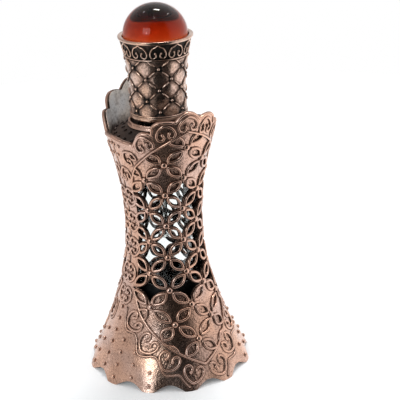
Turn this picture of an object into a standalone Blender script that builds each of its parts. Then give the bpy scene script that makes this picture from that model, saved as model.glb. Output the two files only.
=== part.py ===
"""Perfume oil bottle in a cast openwork case, with a screw cap that carries a glass stone.

The case is an hourglass of two cast halves with a flower lattice at its waist. It holds a
glass vial, which stands in a moulded foot and comes up through a dotted shoulder dish. The
cap screws on the neck of the vial and carries the stick that dips into the oil.

Units are metres, +Z is up, the front panel faces -Y and the feet stand on z = 0.
"""

import math

import bmesh
import bpy
from mathutils import Vector
from mathutils.geometry import delaunay_2d_cdt

MM = 0.001

# General
FIT_GAP = 0.3 * MM
CUT_OVERRUN = 2.0 * MM
MERGE_DISTANCE = 0.01 * MM
ROUND_STEPS = 40
SMALL_ROUND_STEPS = 28
FINE_ARC_STEPS = 9
ARC_STEPS = 5
EDGE_ARC_STEPS = 2

# Case profile
HEM_RADIUS = 31.1 * MM
WAIST_RADIUS = 14.3 * MM
COLLAR_RADIUS = 21.8 * MM
WAIST_HEIGHT = 57.0 * MM
LIP_STAND = 0.5 * MM
LIP_RISE = 1.3 * MM
COLLAR_RISE = 11.8 * MM
BACK_COLLAR_RISE = 3.2 * MM
CASE_WALL = 1.4 * MM
SEAM_GAP = 0.3 * MM
SEAM_ANGLE = 90.0
SEAM_OVERLAP_ANGLE = 2.0
# Each pair is a share of the height from the hem to the waist and of the flare there
SKIRT_SHARES = ((0.0, 1.0), (0.105, 0.835), (0.246, 0.606), (0.386, 0.411), (0.561, 0.218),
                (0.772, 0.058), (1.0, 0.0))
# Each pair is a share of the height from the waist to the front collar and of the flare
BELL_SHARES = ((0.0, 0.0), (0.23, 0.061), (0.481, 0.296), (0.69, 0.65), (0.858, 0.9),
               (1.0, 1.0), (1.07, 1.03))

# Hem
FOOT_COUNT = 12
FOOT_HALF_ANGLE = 4.0
ARCH_RISE = 2.3 * MM
FLUTE_DEPTH = 0.45 * MM
FLUTE_HEIGHT = 16.0 * MM
HEM_POINTS_PER_FOOT = 8

# Collar edge, from its middle to the smooth lip: degrees, and share of the collar's rise
COLLAR_EDGE_SHARES = ((0.0, 1.0), (5.0, 0.97), (9.5, 0.87), (13.5, 0.755), (18.5, 0.775),
                      (24.0, 0.79), (30.0, 0.775), (34.5, 0.7), (36.5, 0.6), (37.2, 0.42),
                      (42.0, 0.43), (47.0, 0.435), (51.0, 0.36), (54.5, 0.19), (58.5, 0.0))
COLLAR_TOP_ANGLE = 36.5
LIP_POINTS = 4
SIDE_POINTS = 13

# Openwork lattice
LATTICE_COLUMNS = 14
ROW_PITCH = 12.45 * MM
LATTICE_DROP = 3.0 * MM
LATTICE_HALF_ROWS = 3
BORDER_ANGLE = 71.5
BORDER_COLUMN = 3
PETAL_LENGTH_SHARE = 0.27
PETAL_WIDTH_SHARE = 0.115
CELL_TIP_SHARE = 0.77
CELL_WAIST_SHARE = 0.27

# Grid of free points on the closed parts of the case
GRID_ANGLE = 11.25
GRID_CLEAR = 2.2 * MM
SKIRT_ROW_SHARES = (0.075, 0.165, 0.28, 0.4)
BELL_ROW_SHARES = (0.52, 0.64, 0.76)
COLLAR_ROW_SHARE = 0.45

# Glass vial
VIAL_BASE_HEIGHT = 32.0 * MM
VIAL_BODY_LENGTH = 58.2 * MM
VIAL_SHOULDER_RISE = 4.0 * MM
VIAL_WALL = 1.1 * MM
VIAL_FLOOR = 1.6 * MM
VIAL_EDGE = 1.0 * MM
NECK_RADIUS = 6.6 * MM
NECK_WALL = 2.0 * MM
NECK_LENGTH = 16.7 * MM
NECK_EDGE = 0.4 * MM

# Thread of the neck and of the cap's insert
THREAD_PITCH = 3.0 * MM
THREAD_TURNS = 1.5
THREAD_HEIGHT = 0.45 * MM
THREAD_CLEARANCE = 0.2 * MM
THREAD_TOP_DROP = 2.6 * MM
THREAD_POINTS = 20

# Moulded foot under the vial
CUP_WALL = 0.9 * MM
CUP_DEPTH = 5.0 * MM
FOOT_WALL = 1.5 * MM
FLANGE_THICKNESS = 1.6 * MM
FLANGE_HEIGHT = 3.4 * MM
FLANGE_FILLET = 4.0 * MM
PAD_THICKNESS = 0.9 * MM
FELT_THICKNESS = 0.8 * MM
FELT_MARGIN = 0.6 * MM

# Shoulder dish and neck ring
DISH_THICKNESS = 1.0 * MM
DISH_FALL = 3.0 * MM
DISH_HOLE_MARGIN = 1.2 * MM
RING_STAND = 0.7 * MM
RING_WALL = 0.8 * MM
RING_FOOT = 0.5 * MM
RING_HEIGHT = 1.8 * MM

# Cap
CAP_GAP = 1.3 * MM
SLEEVE_WALL = 1.1 * MM
CAP_WAIST_RISE = 10.1 * MM
CAP_RIM_STAND = 0.5 * MM
CAP_RIM_HEIGHT = 1.5 * MM
CAP_BAND_STAND = 1.3 * MM
CAP_BAND_WIDTH = 7.0 * MM
CAP_CUP_DEPTH = 6.6 * MM
CAP_WALL = 1.1 * MM
CAP_LIP_WALL = 1.55 * MM
CAP_LIP_THICKNESS = 1.1 * MM
BAND_TOP_WALL = 0.8 * MM
CAP_WEB_THICKNESS = 1.4 * MM
LEDGE_WIDTH = 1.6 * MM
SHEET_EDGE = 0.25 * MM
CAP_SIDE_STEPS = 6

# Cap insert, seal and dipping stick
INSERT_WALL = 1.1 * MM
INSERT_CROWN = 1.3 * MM
INSERT_RECESS = 0.5 * MM
SOCKET_WALL = 1.2 * MM
SOCKET_DEPTH = 6.5 * MM
SOCKET_CROWN = 0.5 * MM
SEAL_THICKNESS = 0.7 * MM
STICK_RADIUS = 1.45 * MM
STICK_TIP_SWELL = 0.55 * MM
STICK_FLOOR_GAP = 16.4 * MM

# Glass stone and its seat
STONE_RADIUS = 11.7 * MM
STONE_RISE = 11.2 * MM
STONE_SINK = 1.2 * MM
STONE_BEVEL = 0.4 * MM
SEAT_THICKNESS = 1.0 * MM

# Radii that follow from the ones above
WAIST_INNER_RADIUS = WAIST_RADIUS - CASE_WALL
CUP_OUTER_RADIUS = WAIST_INNER_RADIUS - FIT_GAP
CUP_INNER_RADIUS = CUP_OUTER_RADIUS - CUP_WALL
VIAL_RADIUS = CUP_INNER_RADIUS - FIT_GAP
THREAD_CREST = NECK_RADIUS + THREAD_HEIGHT
INSERT_CREST = THREAD_CREST + THREAD_CLEARANCE
INSERT_INNER_RADIUS = INSERT_CREST + THREAD_HEIGHT
INSERT_OUTER_RADIUS = INSERT_INNER_RADIUS + INSERT_WALL
CAP_INNER_RADIUS = INSERT_OUTER_RADIUS + FIT_GAP
CAP_WAIST_RADIUS = CAP_INNER_RADIUS + SLEEVE_WALL
CAP_RIM_RADIUS = CAP_WAIST_RADIUS + CAP_RIM_STAND
CAP_BAND_RADIUS = CAP_WAIST_RADIUS + CAP_BAND_STAND
RING_RADIUS = CAP_RIM_RADIUS + RING_STAND
STONE_BORE = STONE_RADIUS + FIT_GAP
CAP_BAND_TOP_RADIUS = STONE_BORE + BAND_TOP_WALL
CAP_LIP_RADIUS = STONE_BORE + CAP_LIP_WALL
CAP_CUP_RADIUS = min(STONE_BORE - LEDGE_WIDTH, CAP_BAND_RADIUS - CAP_WALL)
STICK_TIP_RADIUS = STICK_RADIUS + STICK_TIP_SWELL
SOCKET_RADIUS = STICK_RADIUS + FIT_GAP
SOCKET_OUTER_RADIUS = SOCKET_RADIUS + SOCKET_WALL

# Heights that follow, from the vial up to the stone
VIAL_FLOOR_TOP = VIAL_BASE_HEIGHT + VIAL_FLOOR
VIAL_SHOULDER_HEIGHT = VIAL_BASE_HEIGHT + VIAL_BODY_LENGTH
VIAL_SHOULDER_TOP = VIAL_SHOULDER_HEIGHT + VIAL_SHOULDER_RISE
NECK_TOP = VIAL_SHOULDER_TOP + NECK_LENGTH
DISH_TOP_HEIGHT = VIAL_SHOULDER_TOP + FIT_GAP + DISH_THICKNESS
DISH_RIM_HEIGHT = DISH_TOP_HEIGHT - DISH_FALL
LIP_HEIGHT = DISH_RIM_HEIGHT + LIP_STAND
FRONT_COLLAR_HEIGHT = LIP_HEIGHT + COLLAR_RISE
RING_TOP = DISH_TOP_HEIGHT + FIT_GAP + RING_HEIGHT
CAP_BOTTOM = RING_TOP + CAP_GAP
CAP_WAIST_HEIGHT = CAP_BOTTOM + CAP_WAIST_RISE
SEAL_BOTTOM = NECK_TOP + FIT_GAP
INSERT_CEILING = SEAL_BOTTOM + SEAL_THICKNESS + FIT_GAP
INSERT_TOP = INSERT_CEILING + INSERT_CROWN
CAP_WEB_BOTTOM = INSERT_TOP + FIT_GAP
CAP_WEB_TOP = CAP_WEB_BOTTOM + CAP_WEB_THICKNESS
CAP_BAND_HEIGHT = CAP_WEB_TOP + CAP_CUP_DEPTH
CAP_LIP_HEIGHT = CAP_BAND_HEIGHT + CAP_BAND_WIDTH
STONE_TOP = CAP_LIP_HEIGHT + STONE_RISE
STONE_BOTTOM = CAP_LIP_HEIGHT - STONE_SINK
SEAT_TOP = STONE_BOTTOM - FIT_GAP
SEAT_BOTTOM = SEAT_TOP - SEAT_THICKNESS
LEDGE_HEIGHT = SEAT_BOTTOM - FIT_GAP

# Heights below the vial, and the places of the lattice
CUP_FLOOR_TOP = VIAL_BASE_HEIGHT - FIT_GAP - PAD_THICKNESS - FIT_GAP
FLANGE_TOP = FLANGE_HEIGHT + FLANGE_THICKNESS
MIDDLE_NODE_HEIGHT = WAIST_HEIGHT - LATTICE_DROP
HALF_ROW = ROW_PITCH / 2
COLUMN_ANGLE = 360.0 / LATTICE_COLUMNS
SIDE_ANGLE = SEAM_ANGLE + SEAM_OVERLAP_ANGLE


def clear_scene():
    """Remove every object and collection that the file holds."""
    for item in list(bpy.data.objects):
        bpy.data.objects.remove(item, do_unlink=True)
    for group in list(bpy.data.collections):
        bpy.data.collections.remove(group)


def new_collection(name):
    """Return a new collection linked to the scene."""
    group = bpy.data.collections.new(name)
    bpy.context.scene.collection.children.link(group)
    return group


def new_material(name, colour, roughness, metallic, transmission=0.0):
    """Return a Principled material."""
    material = bpy.data.materials.new(name)
    material.use_nodes = True
    shader = material.node_tree.nodes["Principled BSDF"]
    shader.inputs["Base Color"].default_value = (*colour, 1.0)
    shader.inputs["Roughness"].default_value = roughness
    shader.inputs["Metallic"].default_value = metallic
    shader.inputs["Transmission Weight"].default_value = transmission
    return material


def add_mesh_object(name, mesh, group, material=None):
    """Put a mesh in the scene as an object of the given collection."""
    item = bpy.data.objects.new(name, mesh)
    group.objects.link(item)
    if material is not None:
        mesh.materials.append(material)
    return item


def interpolate(pairs, place):
    """Read a smooth curve through the given pairs, with Hermite pieces."""
    last = len(pairs) - 1
    index = 0
    while index < last - 1 and place > pairs[index + 1][0]:
        index += 1
    slopes = []
    for knot in (index, index + 1):
        before = pairs[max(knot - 1, 0)]
        after = pairs[min(knot + 1, last)]
        slopes.append((after[1] - before[1]) / (after[0] - before[0]))
    (x0, y0), (x1, y1) = pairs[index], pairs[index + 1]
    span = x1 - x0
    t = (place - x0) / span
    rise = (2 * t - 3) * t * t + 1
    bend_in = ((t - 2) * t + 1) * t
    bend_out = (t - 1) * t * t
    return rise * y0 + bend_in * span * slopes[0] + (1 - rise) * y1 + bend_out * span * slopes[1]


def case_radius(height):
    """Outer radius of the case at a height, without the flutes of the hem."""
    if height < WAIST_HEIGHT:
        share = interpolate(SKIRT_SHARES, max(height, 0.0) / WAIST_HEIGHT)
        return WAIST_RADIUS + share * (HEM_RADIUS - WAIST_RADIUS)
    bell = FRONT_COLLAR_HEIGHT - WAIST_HEIGHT
    share = interpolate(BELL_SHARES, (height - WAIST_HEIGHT) / bell)
    return WAIST_RADIUS + share * (COLLAR_RADIUS - WAIST_RADIUS)


def case_slant(height):
    """Width of the case wall on a level cut, as a share of its thickness."""
    step = FIT_GAP
    slope = (case_radius(height + step) - case_radius(height)) / step
    return math.hypot(1.0, slope)


def case_inner_radius(height):
    """Inner radius of the case at a height, at the bottom of the flutes."""
    flute = FLUTE_DEPTH * flute_fade(height)
    return case_radius(height) - CASE_WALL * case_slant(height) - flute


def flute_fade(height):
    """Share of the flute depth that is left at a height above the hem."""
    return max(0.0, 1.0 - height / FLUTE_HEIGHT) ** 2


def foot_offset(angle):
    """Degrees from the middle of the nearest foot."""
    pitch = 360.0 / FOOT_COUNT
    return abs(angle % pitch - pitch / 2)


def fluted_radius(angle, height):
    """Outer radius of the case, which swells a little over each foot."""
    pitch = 360.0 / FOOT_COUNT
    wave = math.cos(2 * math.pi * foot_offset(angle) / pitch)
    return case_radius(height) + FLUTE_DEPTH * flute_fade(height) * wave


def hem_height(angle):
    """Height of the arched hem at an angle from the panel's middle."""
    half_arch = 180.0 / FOOT_COUNT - FOOT_HALF_ANGLE
    share = max(0.0, (foot_offset(angle) - FOOT_HALF_ANGLE) / half_arch)
    return ARCH_RISE * math.sin(share * math.pi / 2)


def lip_height(angle):
    """Height of the smooth lip, which climbs a little towards the seam."""
    start = COLLAR_EDGE_SHARES[-1][0]
    share = max(0.0, (abs(angle) - start) / (SEAM_ANGLE - start))
    return LIP_HEIGHT + LIP_RISE * share


def collar_points(peak_height):
    """Outline of the collar's top edge, from the right seam to the left one."""
    half = []
    for angle, share in COLLAR_EDGE_SHARES:
        half.append((angle, LIP_HEIGHT + share * (peak_height - LIP_HEIGHT)))
    lip_start = COLLAR_EDGE_SHARES[-1][0]
    for step in range(1, LIP_POINTS + 1):
        angle = lip_start + (SIDE_ANGLE - lip_start) * step / LIP_POINTS
        half.append((angle, lip_height(angle)))
    left = [(-angle, height) for angle, height in half[1:]]
    return list(reversed(half)) + left


def case_outline(peak_height):
    """Outer boundary of one half of the case as (angle, height) pairs."""
    hem = []
    step = 360.0 / (FOOT_COUNT * HEM_POINTS_PER_FOOT)
    count = int(SIDE_ANGLE / step)
    for index in range(-count, count + 1):
        hem.append((index * step, hem_height(index * step)))
    low = hem_height(SIDE_ANGLE)
    high = lip_height(SIDE_ANGLE)
    hem = [(-SIDE_ANGLE, low)] + hem + [(SIDE_ANGLE, low)]
    right = []
    for index in range(1, SIDE_POINTS):
        right.append((SIDE_ANGLE, low + (high - low) * index / SIDE_POINTS))
    left = [(-angle, height) for angle, height in reversed(right)]
    return hem + right + collar_points(peak_height) + left


def lattice_place(column, half_rows):
    """Angle and height of a place in the lattice."""
    return column * COLUMN_ANGLE, MIDDLE_NODE_HEIGHT + half_rows * HALF_ROW


def petal_hole(column, half_rows, rise):
    """Lens-shaped hole on the lattice edge whose middle is given."""
    along = PETAL_LENGTH_SHARE
    across = PETAL_WIDTH_SHARE
    outline = ((along, 0.0), (along / 3, across), (-along / 3, across),
               (-along, 0.0), (-along / 3, -across), (along / 3, -across))
    points = []
    for length, width in outline:
        points.append(lattice_place(column + length - rise * width,
                                    half_rows + rise * length + width))
    return points


def cell_hole(column, half_rows):
    """Four-pointed hole between four petals, cut off at the panel's border."""
    tip = CELL_TIP_SHARE
    waist = CELL_WAIST_SHARE
    outline = ((tip, 0.0), (waist, waist), (0.0, tip), (-waist, waist),
               (-tip, 0.0), (-waist, -waist), (0.0, -tip), (waist, -waist))
    points = []
    for across, along in outline:
        points.append(lattice_place(column + across, half_rows + along))
    return points


def border_hole(side, half_rows):
    """Half of a cell, where the panel's border crosses the outermost column."""
    inner = BORDER_COLUMN - CELL_TIP_SHARE
    waist = BORDER_COLUMN - CELL_WAIST_SHARE
    border = BORDER_ANGLE / COLUMN_ANGLE
    edge = CELL_WAIST_SHARE * (border - inner) / (waist - inner)
    outline = ((inner, 0.0), (border, -edge), (border, edge))
    points = []
    for across, along in outline:
        points.append(lattice_place(side * across, half_rows + along))
    return points


def case_holes():
    """Every opening of one panel as a list of outlines."""
    holes = []
    reach = LATTICE_HALF_ROWS
    for column in range(1 - BORDER_COLUMN, BORDER_COLUMN):
        for half_rows in range(-reach, reach + 1):
            if (column + half_rows) % 2:
                holes.append(cell_hole(column, half_rows))
    for side in (-1, 1):
        for half_rows in range(1 - reach, reach):
            if (BORDER_COLUMN + half_rows) % 2:
                holes.append(border_hole(side, half_rows))
    for column in range(-BORDER_COLUMN, BORDER_COLUMN):
        for half_rows in range(-reach, reach):
            rise = 1 if (column + half_rows) % 2 == 0 else -1
            holes.append(petal_hole(column + 0.5, half_rows + 0.5, rise))
    return holes


def free_points(peak_height):
    """Points between the outlines, which keep the closed parts of the case round."""
    points = []
    bell = FRONT_COLLAR_HEIGHT - WAIST_HEIGHT
    heights = [WAIST_HEIGHT * share for share in SKIRT_ROW_SHARES]
    heights += [WAIST_HEIGHT + bell * share for share in BELL_ROW_SHARES]
    count = int((SIDE_ANGLE - GRID_ANGLE / 4) / GRID_ANGLE)
    reach = LATTICE_HALF_ROWS + 1
    lattice_bottom = MIDDLE_NODE_HEIGHT - reach * HALF_ROW
    lattice_top = MIDDLE_NODE_HEIGHT + reach * HALF_ROW
    for index in range(-count, count + 1):
        angle = index * GRID_ANGLE
        for height in heights:
            if height < lattice_bottom - GRID_CLEAR or height > lattice_top:
                points.append((angle, height))
        if abs(angle) < COLLAR_TOP_ANGLE:
            rise = peak_height - LIP_HEIGHT
            points.append((angle, LIP_HEIGHT + rise * COLLAR_ROW_SHARE))
    side = (BORDER_ANGLE + SEAM_ANGLE) / 2
    for half_rows in range(-reach, reach + 1):
        height = MIDDLE_NODE_HEIGHT + half_rows * HALF_ROW
        points.append((side, height))
        points.append((-side, height))
    for column in range(-BORDER_COLUMN, BORDER_COLUMN + 1):
        points.append(lattice_place(column, -reach))
    return points


def encloses(outline, place):
    """Say whether an outline goes round a place, by the crossings to its right."""
    inside = False
    for (x0, y0), (x1, y1) in zip(outline, outline[1:] + outline[:1]):
        if (y0 > place[1]) != (y1 > place[1]):
            if place[0] < x0 + (x1 - x0) * (place[1] - y0) / (y1 - y0):
                inside = not inside
    return inside


def case_surface(name, peak_height):
    """Open outer surface of one half of the case, as a mesh that faces outwards."""
    scale = math.radians(WAIST_RADIUS)
    holes = case_holes()
    flat = []
    edges = []
    for outline in [case_outline(peak_height)] + holes:
        start = len(flat)
        flat.extend(outline)
        for index in range(len(outline)):
            edges.append((start + index, start + (index + 1) % len(outline)))
    flat.extend(free_points(peak_height))
    places = [Vector((angle * scale / MM, height / MM)) for angle, height in flat]
    result = delaunay_2d_cdt(places, edges, [], 1, MERGE_DISTANCE / MM)
    bm = bmesh.new()
    vertices = []
    spots = [(place.x * MM / scale, place.y * MM) for place in result[0]]
    for angle, height in spots:
        radius = fluted_radius(angle, height)
        turn = math.radians(angle)
        vertices.append(bm.verts.new((radius * math.sin(turn), -radius * math.cos(turn), height)))
    for face in result[2]:
        middle = [sum(spots[index][axis] for index in face) / len(face) for axis in (0, 1)]
        if not any(encloses(hole, middle) for hole in holes):
            bm.faces.new([vertices[index] for index in face])
    bmesh.ops.recalc_face_normals(bm, faces=bm.faces)
    front_face = min(bm.faces, key=lambda face: face.calc_center_median().y)
    if front_face.normal.y > 0.0:
        bmesh.ops.reverse_faces(bm, faces=bm.faces)
    mesh = bpy.data.meshes.new(name)
    bm.to_mesh(mesh)
    bm.free()
    return mesh


def box_cutter(name, low, high, cutters):
    """Add a box between two corners as a cutter."""
    size = [top - bottom for bottom, top in zip(low, high)]
    middle = [(top + bottom) / 2 for bottom, top in zip(low, high)]
    bm = bmesh.new()
    bmesh.ops.create_cube(bm, size=1.0)
    bmesh.ops.scale(bm, vec=size, verts=bm.verts)
    bmesh.ops.translate(bm, vec=middle, verts=bm.verts)
    mesh = bpy.data.meshes.new(name)
    bm.to_mesh(mesh)
    bm.free()
    item = add_mesh_object(name, mesh, cutters)
    item.hide_render = True
    item.display_type = "WIRE"
    return item


def add_boolean(item, other, operation):
    """Cut or join another object with an exact Boolean."""
    modifier = item.modifiers.new(operation.title(), "BOOLEAN")
    modifier.operation = operation
    modifier.solver = "EXACT"
    modifier.object = other


def make_case_half(name, peak_height, turned, group, cutters, material):
    """Build one cast half of the case: a pierced surface made thick, with flat feet."""
    item = add_mesh_object(name, case_surface(name, peak_height), group, material)
    shell = item.modifiers.new("Wall", "SOLIDIFY")
    shell.thickness = CASE_WALL
    shell.offset = -1.0
    shell.use_even_offset = True
    reach = HEM_RADIUS + FLUTE_DEPTH + CUT_OVERRUN
    top = peak_height + CUT_OVERRUN
    seam_low = (-reach, -SEAM_GAP / 2, -CUT_OVERRUN)
    seam = box_cutter(name + "_seam_cutter", seam_low, (reach, reach, top), cutters)
    floor_low = (-reach, -reach, -CUT_OVERRUN)
    floor_box = box_cutter(name + "_floor_cutter", floor_low, (reach, reach, 0.0), cutters)
    add_boolean(item, seam, "DIFFERENCE")
    add_boolean(item, floor_box, "DIFFERENCE")
    if turned:
        for piece in (item, seam, floor_box):
            piece.rotation_euler.z = math.pi
    return item


def turned_mesh(name, profile, closed):
    """Mesh of a profile in the XZ plane, which a Screw modifier turns."""
    bm = bmesh.new()
    vertices = [bm.verts.new((radius, 0.0, height)) for radius, height in profile]
    for first, second in zip(vertices, vertices[1:]):
        bm.edges.new((first, second))
    if closed:
        bm.edges.new((vertices[-1], vertices[0]))
    mesh = bpy.data.meshes.new(name)
    bm.to_mesh(mesh)
    bm.free()
    return mesh


def make_turned(name, profile, group, material, steps=ROUND_STEPS, closed=False):
    """Turn a profile about Z. Its outer side runs from top to bottom."""
    item = add_mesh_object(name, turned_mesh(name, profile, closed), group, material)
    screw = item.modifiers.new("Turn", "SCREW")
    screw.axis = "Z"
    screw.angle = 2 * math.pi
    screw.steps = steps
    screw.render_steps = steps
    screw.use_merge_vertices = True
    screw.merge_threshold = MERGE_DISTANCE
    screw.use_smooth_shade = True
    return item


def arc_points(centre, radii, start, end, count):
    """Points along a quarter of an ellipse, with its angles in degrees."""
    points = []
    for index in range(count + 1):
        turn = math.radians(start + (end - start) * index / count)
        points.append((centre[0] + radii[0] * math.cos(turn),
                       centre[1] + radii[1] * math.sin(turn)))
    return points


def thread_ridge(name, radius, bottom, cutters):
    """Helical ridge as a mesh, which is then joined to its neck or insert."""
    curve = bpy.data.curves.new(name, "CURVE")
    curve.dimensions = "3D"
    curve.bevel_depth = THREAD_HEIGHT
    curve.bevel_resolution = 1
    curve.use_fill_caps = True
    count = int(THREAD_POINTS * THREAD_TURNS)
    spline = curve.splines.new("POLY")
    spline.points.add(count)
    for index in range(count + 1):
        turns = index / THREAD_POINTS
        turn = 2 * math.pi * turns
        height = bottom + THREAD_PITCH * turns
        spline.points[index].co = (radius * math.cos(turn), radius * math.sin(turn), height, 1.0)
    source = bpy.data.objects.new(name + "_curve", curve)
    cutters.objects.link(source)
    depsgraph = bpy.context.evaluated_depsgraph_get()
    mesh = bpy.data.meshes.new_from_object(source.evaluated_get(depsgraph))
    bm = bmesh.new()
    bm.from_mesh(mesh)
    bmesh.ops.remove_doubles(bm, verts=bm.verts, dist=MERGE_DISTANCE)
    bmesh.ops.recalc_face_normals(bm, faces=bm.faces)
    bm.to_mesh(mesh)
    bm.free()
    item = add_mesh_object(name, mesh, cutters)
    item.matrix_world = source.matrix_world.copy()
    item.hide_render = True
    item.display_type = "WIRE"
    bpy.data.objects.remove(source, do_unlink=True)
    return item


def make_vial(group, cutters, material):
    """Glass vial with a round shoulder and a threaded neck."""
    bore = NECK_RADIUS - NECK_WALL
    inner = VIAL_RADIUS - VIAL_WALL
    inner_reach = (inner - bore, VIAL_SHOULDER_RISE - VIAL_WALL)
    outer_reach = (VIAL_RADIUS - NECK_RADIUS, VIAL_SHOULDER_RISE)
    edge = (VIAL_EDGE, VIAL_EDGE)
    inner_edge = (inner - VIAL_EDGE, VIAL_FLOOR_TOP + VIAL_EDGE)
    outer_edge = (VIAL_RADIUS - VIAL_EDGE, VIAL_BASE_HEIGHT + VIAL_EDGE)
    profile = [(0.0, VIAL_FLOOR_TOP)]
    profile += arc_points(inner_edge, edge, -90, 0, EDGE_ARC_STEPS)
    profile += arc_points((bore, VIAL_SHOULDER_HEIGHT), inner_reach, 0, 90, ARC_STEPS)
    profile += [(bore, NECK_TOP - NECK_EDGE), (bore + NECK_EDGE, NECK_TOP)]
    profile += [(NECK_RADIUS - NECK_EDGE, NECK_TOP), (NECK_RADIUS, NECK_TOP - NECK_EDGE)]
    profile += arc_points((NECK_RADIUS, VIAL_SHOULDER_HEIGHT), outer_reach, 90, 0, ARC_STEPS)
    profile += arc_points(outer_edge, edge, 0, -90, EDGE_ARC_STEPS)
    profile += [(0.0, VIAL_BASE_HEIGHT)]
    item = make_turned("glass_vial", profile, group, material)
    bottom = NECK_TOP - THREAD_TOP_DROP - THREAD_PITCH * THREAD_TURNS
    ridge = thread_ridge("neck_thread", NECK_RADIUS, bottom, cutters)
    add_boolean(item, ridge, "UNION")
    return item


def make_foot(group, material):
    """Moulded foot: a cup for the vial, a hollow column and a flange in the skirt."""
    flange_radius = case_inner_radius(FLANGE_TOP) - FIT_GAP
    hollow = CUP_OUTER_RADIUS - FOOT_WALL
    rim = CUP_FLOOR_TOP + CUP_DEPTH
    profile = [(0.0, CUP_FLOOR_TOP), (CUP_INNER_RADIUS, CUP_FLOOR_TOP)]
    profile += [(CUP_INNER_RADIUS, rim), (CUP_OUTER_RADIUS, rim)]
    fillet_centre = (CUP_OUTER_RADIUS + FLANGE_FILLET, FLANGE_TOP + FLANGE_FILLET)
    fillet = (FLANGE_FILLET, FLANGE_FILLET)
    profile += arc_points(fillet_centre, fillet, 180, 270, EDGE_ARC_STEPS)
    profile += [(flange_radius, FLANGE_TOP), (flange_radius, FLANGE_HEIGHT)]
    profile += [(hollow, FLANGE_HEIGHT), (hollow, CUP_FLOOR_TOP - FOOT_WALL)]
    profile += [(0.0, CUP_FLOOR_TOP - FOOT_WALL)]
    return make_turned("vial_foot", profile, group, material)


def make_disc(name, radius, bottom, top, group, material, steps=ROUND_STEPS):
    """Plain round disc."""
    profile = [(0.0, top), (radius, top), (radius, bottom), (0.0, bottom)]
    return make_turned(name, profile, group, material, steps)


def make_dish(group, material):
    """Conical dish between the case and the neck of the vial."""
    rim_bottom = DISH_RIM_HEIGHT - DISH_THICKNESS
    rim_radius = case_inner_radius(rim_bottom) - FIT_GAP
    hole = NECK_RADIUS + DISH_HOLE_MARGIN
    shelf = RING_RADIUS + RING_FOOT
    profile = [(hole, DISH_TOP_HEIGHT), (shelf, DISH_TOP_HEIGHT), (rim_radius, DISH_RIM_HEIGHT)]
    profile += [(rim_radius, rim_bottom), (shelf, DISH_TOP_HEIGHT - DISH_THICKNESS)]
    profile += [(hole, DISH_TOP_HEIGHT - DISH_THICKNESS)]
    return make_turned("shoulder_dish", profile, group, material, closed=True)


def make_neck_ring(group, material):
    """Upstanding ring on the dish, round the foot of the cap."""
    bottom = DISH_TOP_HEIGHT + FIT_GAP
    inner = RING_RADIUS - RING_WALL
    profile = [(inner, RING_TOP - SHEET_EDGE), (inner + SHEET_EDGE, RING_TOP)]
    profile += [(RING_RADIUS - SHEET_EDGE, RING_TOP), (RING_RADIUS, RING_TOP - SHEET_EDGE)]
    profile += [(RING_RADIUS, (RING_TOP + bottom) / 2), (RING_RADIUS + RING_FOOT, bottom)]
    profile += [(inner, bottom)]
    return make_turned("neck_ring", profile, group, material, closed=True)


def cap_outer_profile():
    """Outer side of the cap from its lip down to its rim."""
    lip_low = CAP_LIP_HEIGHT - CAP_LIP_THICKNESS
    rim_top = CAP_BOTTOM + CAP_RIM_HEIGHT
    profile = [(CAP_LIP_RADIUS - SHEET_EDGE, CAP_LIP_HEIGHT)]
    profile += [(CAP_LIP_RADIUS, CAP_LIP_HEIGHT - SHEET_EDGE), (CAP_LIP_RADIUS, lip_low + SHEET_EDGE)]
    profile += [(CAP_BAND_TOP_RADIUS, lip_low)]
    profile += [(CAP_BAND_RADIUS, CAP_BAND_HEIGHT)]
    neck_knots = ((rim_top, CAP_RIM_RADIUS - SHEET_EDGE), (CAP_WAIST_HEIGHT, CAP_WAIST_RADIUS),
                  (CAP_BAND_HEIGHT, CAP_BAND_RADIUS))
    for index in range(1, CAP_SIDE_STEPS + 1):
        height = CAP_BAND_HEIGHT + (rim_top - CAP_BAND_HEIGHT) * index / CAP_SIDE_STEPS
        profile.append((interpolate(neck_knots, height), height))
    profile += [(CAP_RIM_RADIUS, rim_top), (CAP_RIM_RADIUS, CAP_BOTTOM + SHEET_EDGE)]
    profile += [(CAP_RIM_RADIUS - SHEET_EDGE, CAP_BOTTOM)]
    return profile


def make_cap_shell(group, material):
    """Cast cap: a cup for the stone above a web, and a sleeve for the insert below."""
    lower_cup = min(CAP_CUP_RADIUS, CAP_INNER_RADIUS)
    profile = [(0.0, CAP_WEB_TOP), (lower_cup, CAP_WEB_TOP)]
    profile += [(lower_cup, CAP_BAND_HEIGHT), (CAP_CUP_RADIUS, LEDGE_HEIGHT)]
    profile += [(STONE_BORE, LEDGE_HEIGHT), (STONE_BORE, CAP_LIP_HEIGHT)]
    profile += cap_outer_profile()
    profile += [(CAP_INNER_RADIUS, CAP_BOTTOM), (CAP_INNER_RADIUS, CAP_WEB_BOTTOM)]
    profile += [(0.0, CAP_WEB_BOTTOM)]
    return make_turned("cap_shell", profile, group, material)


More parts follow.
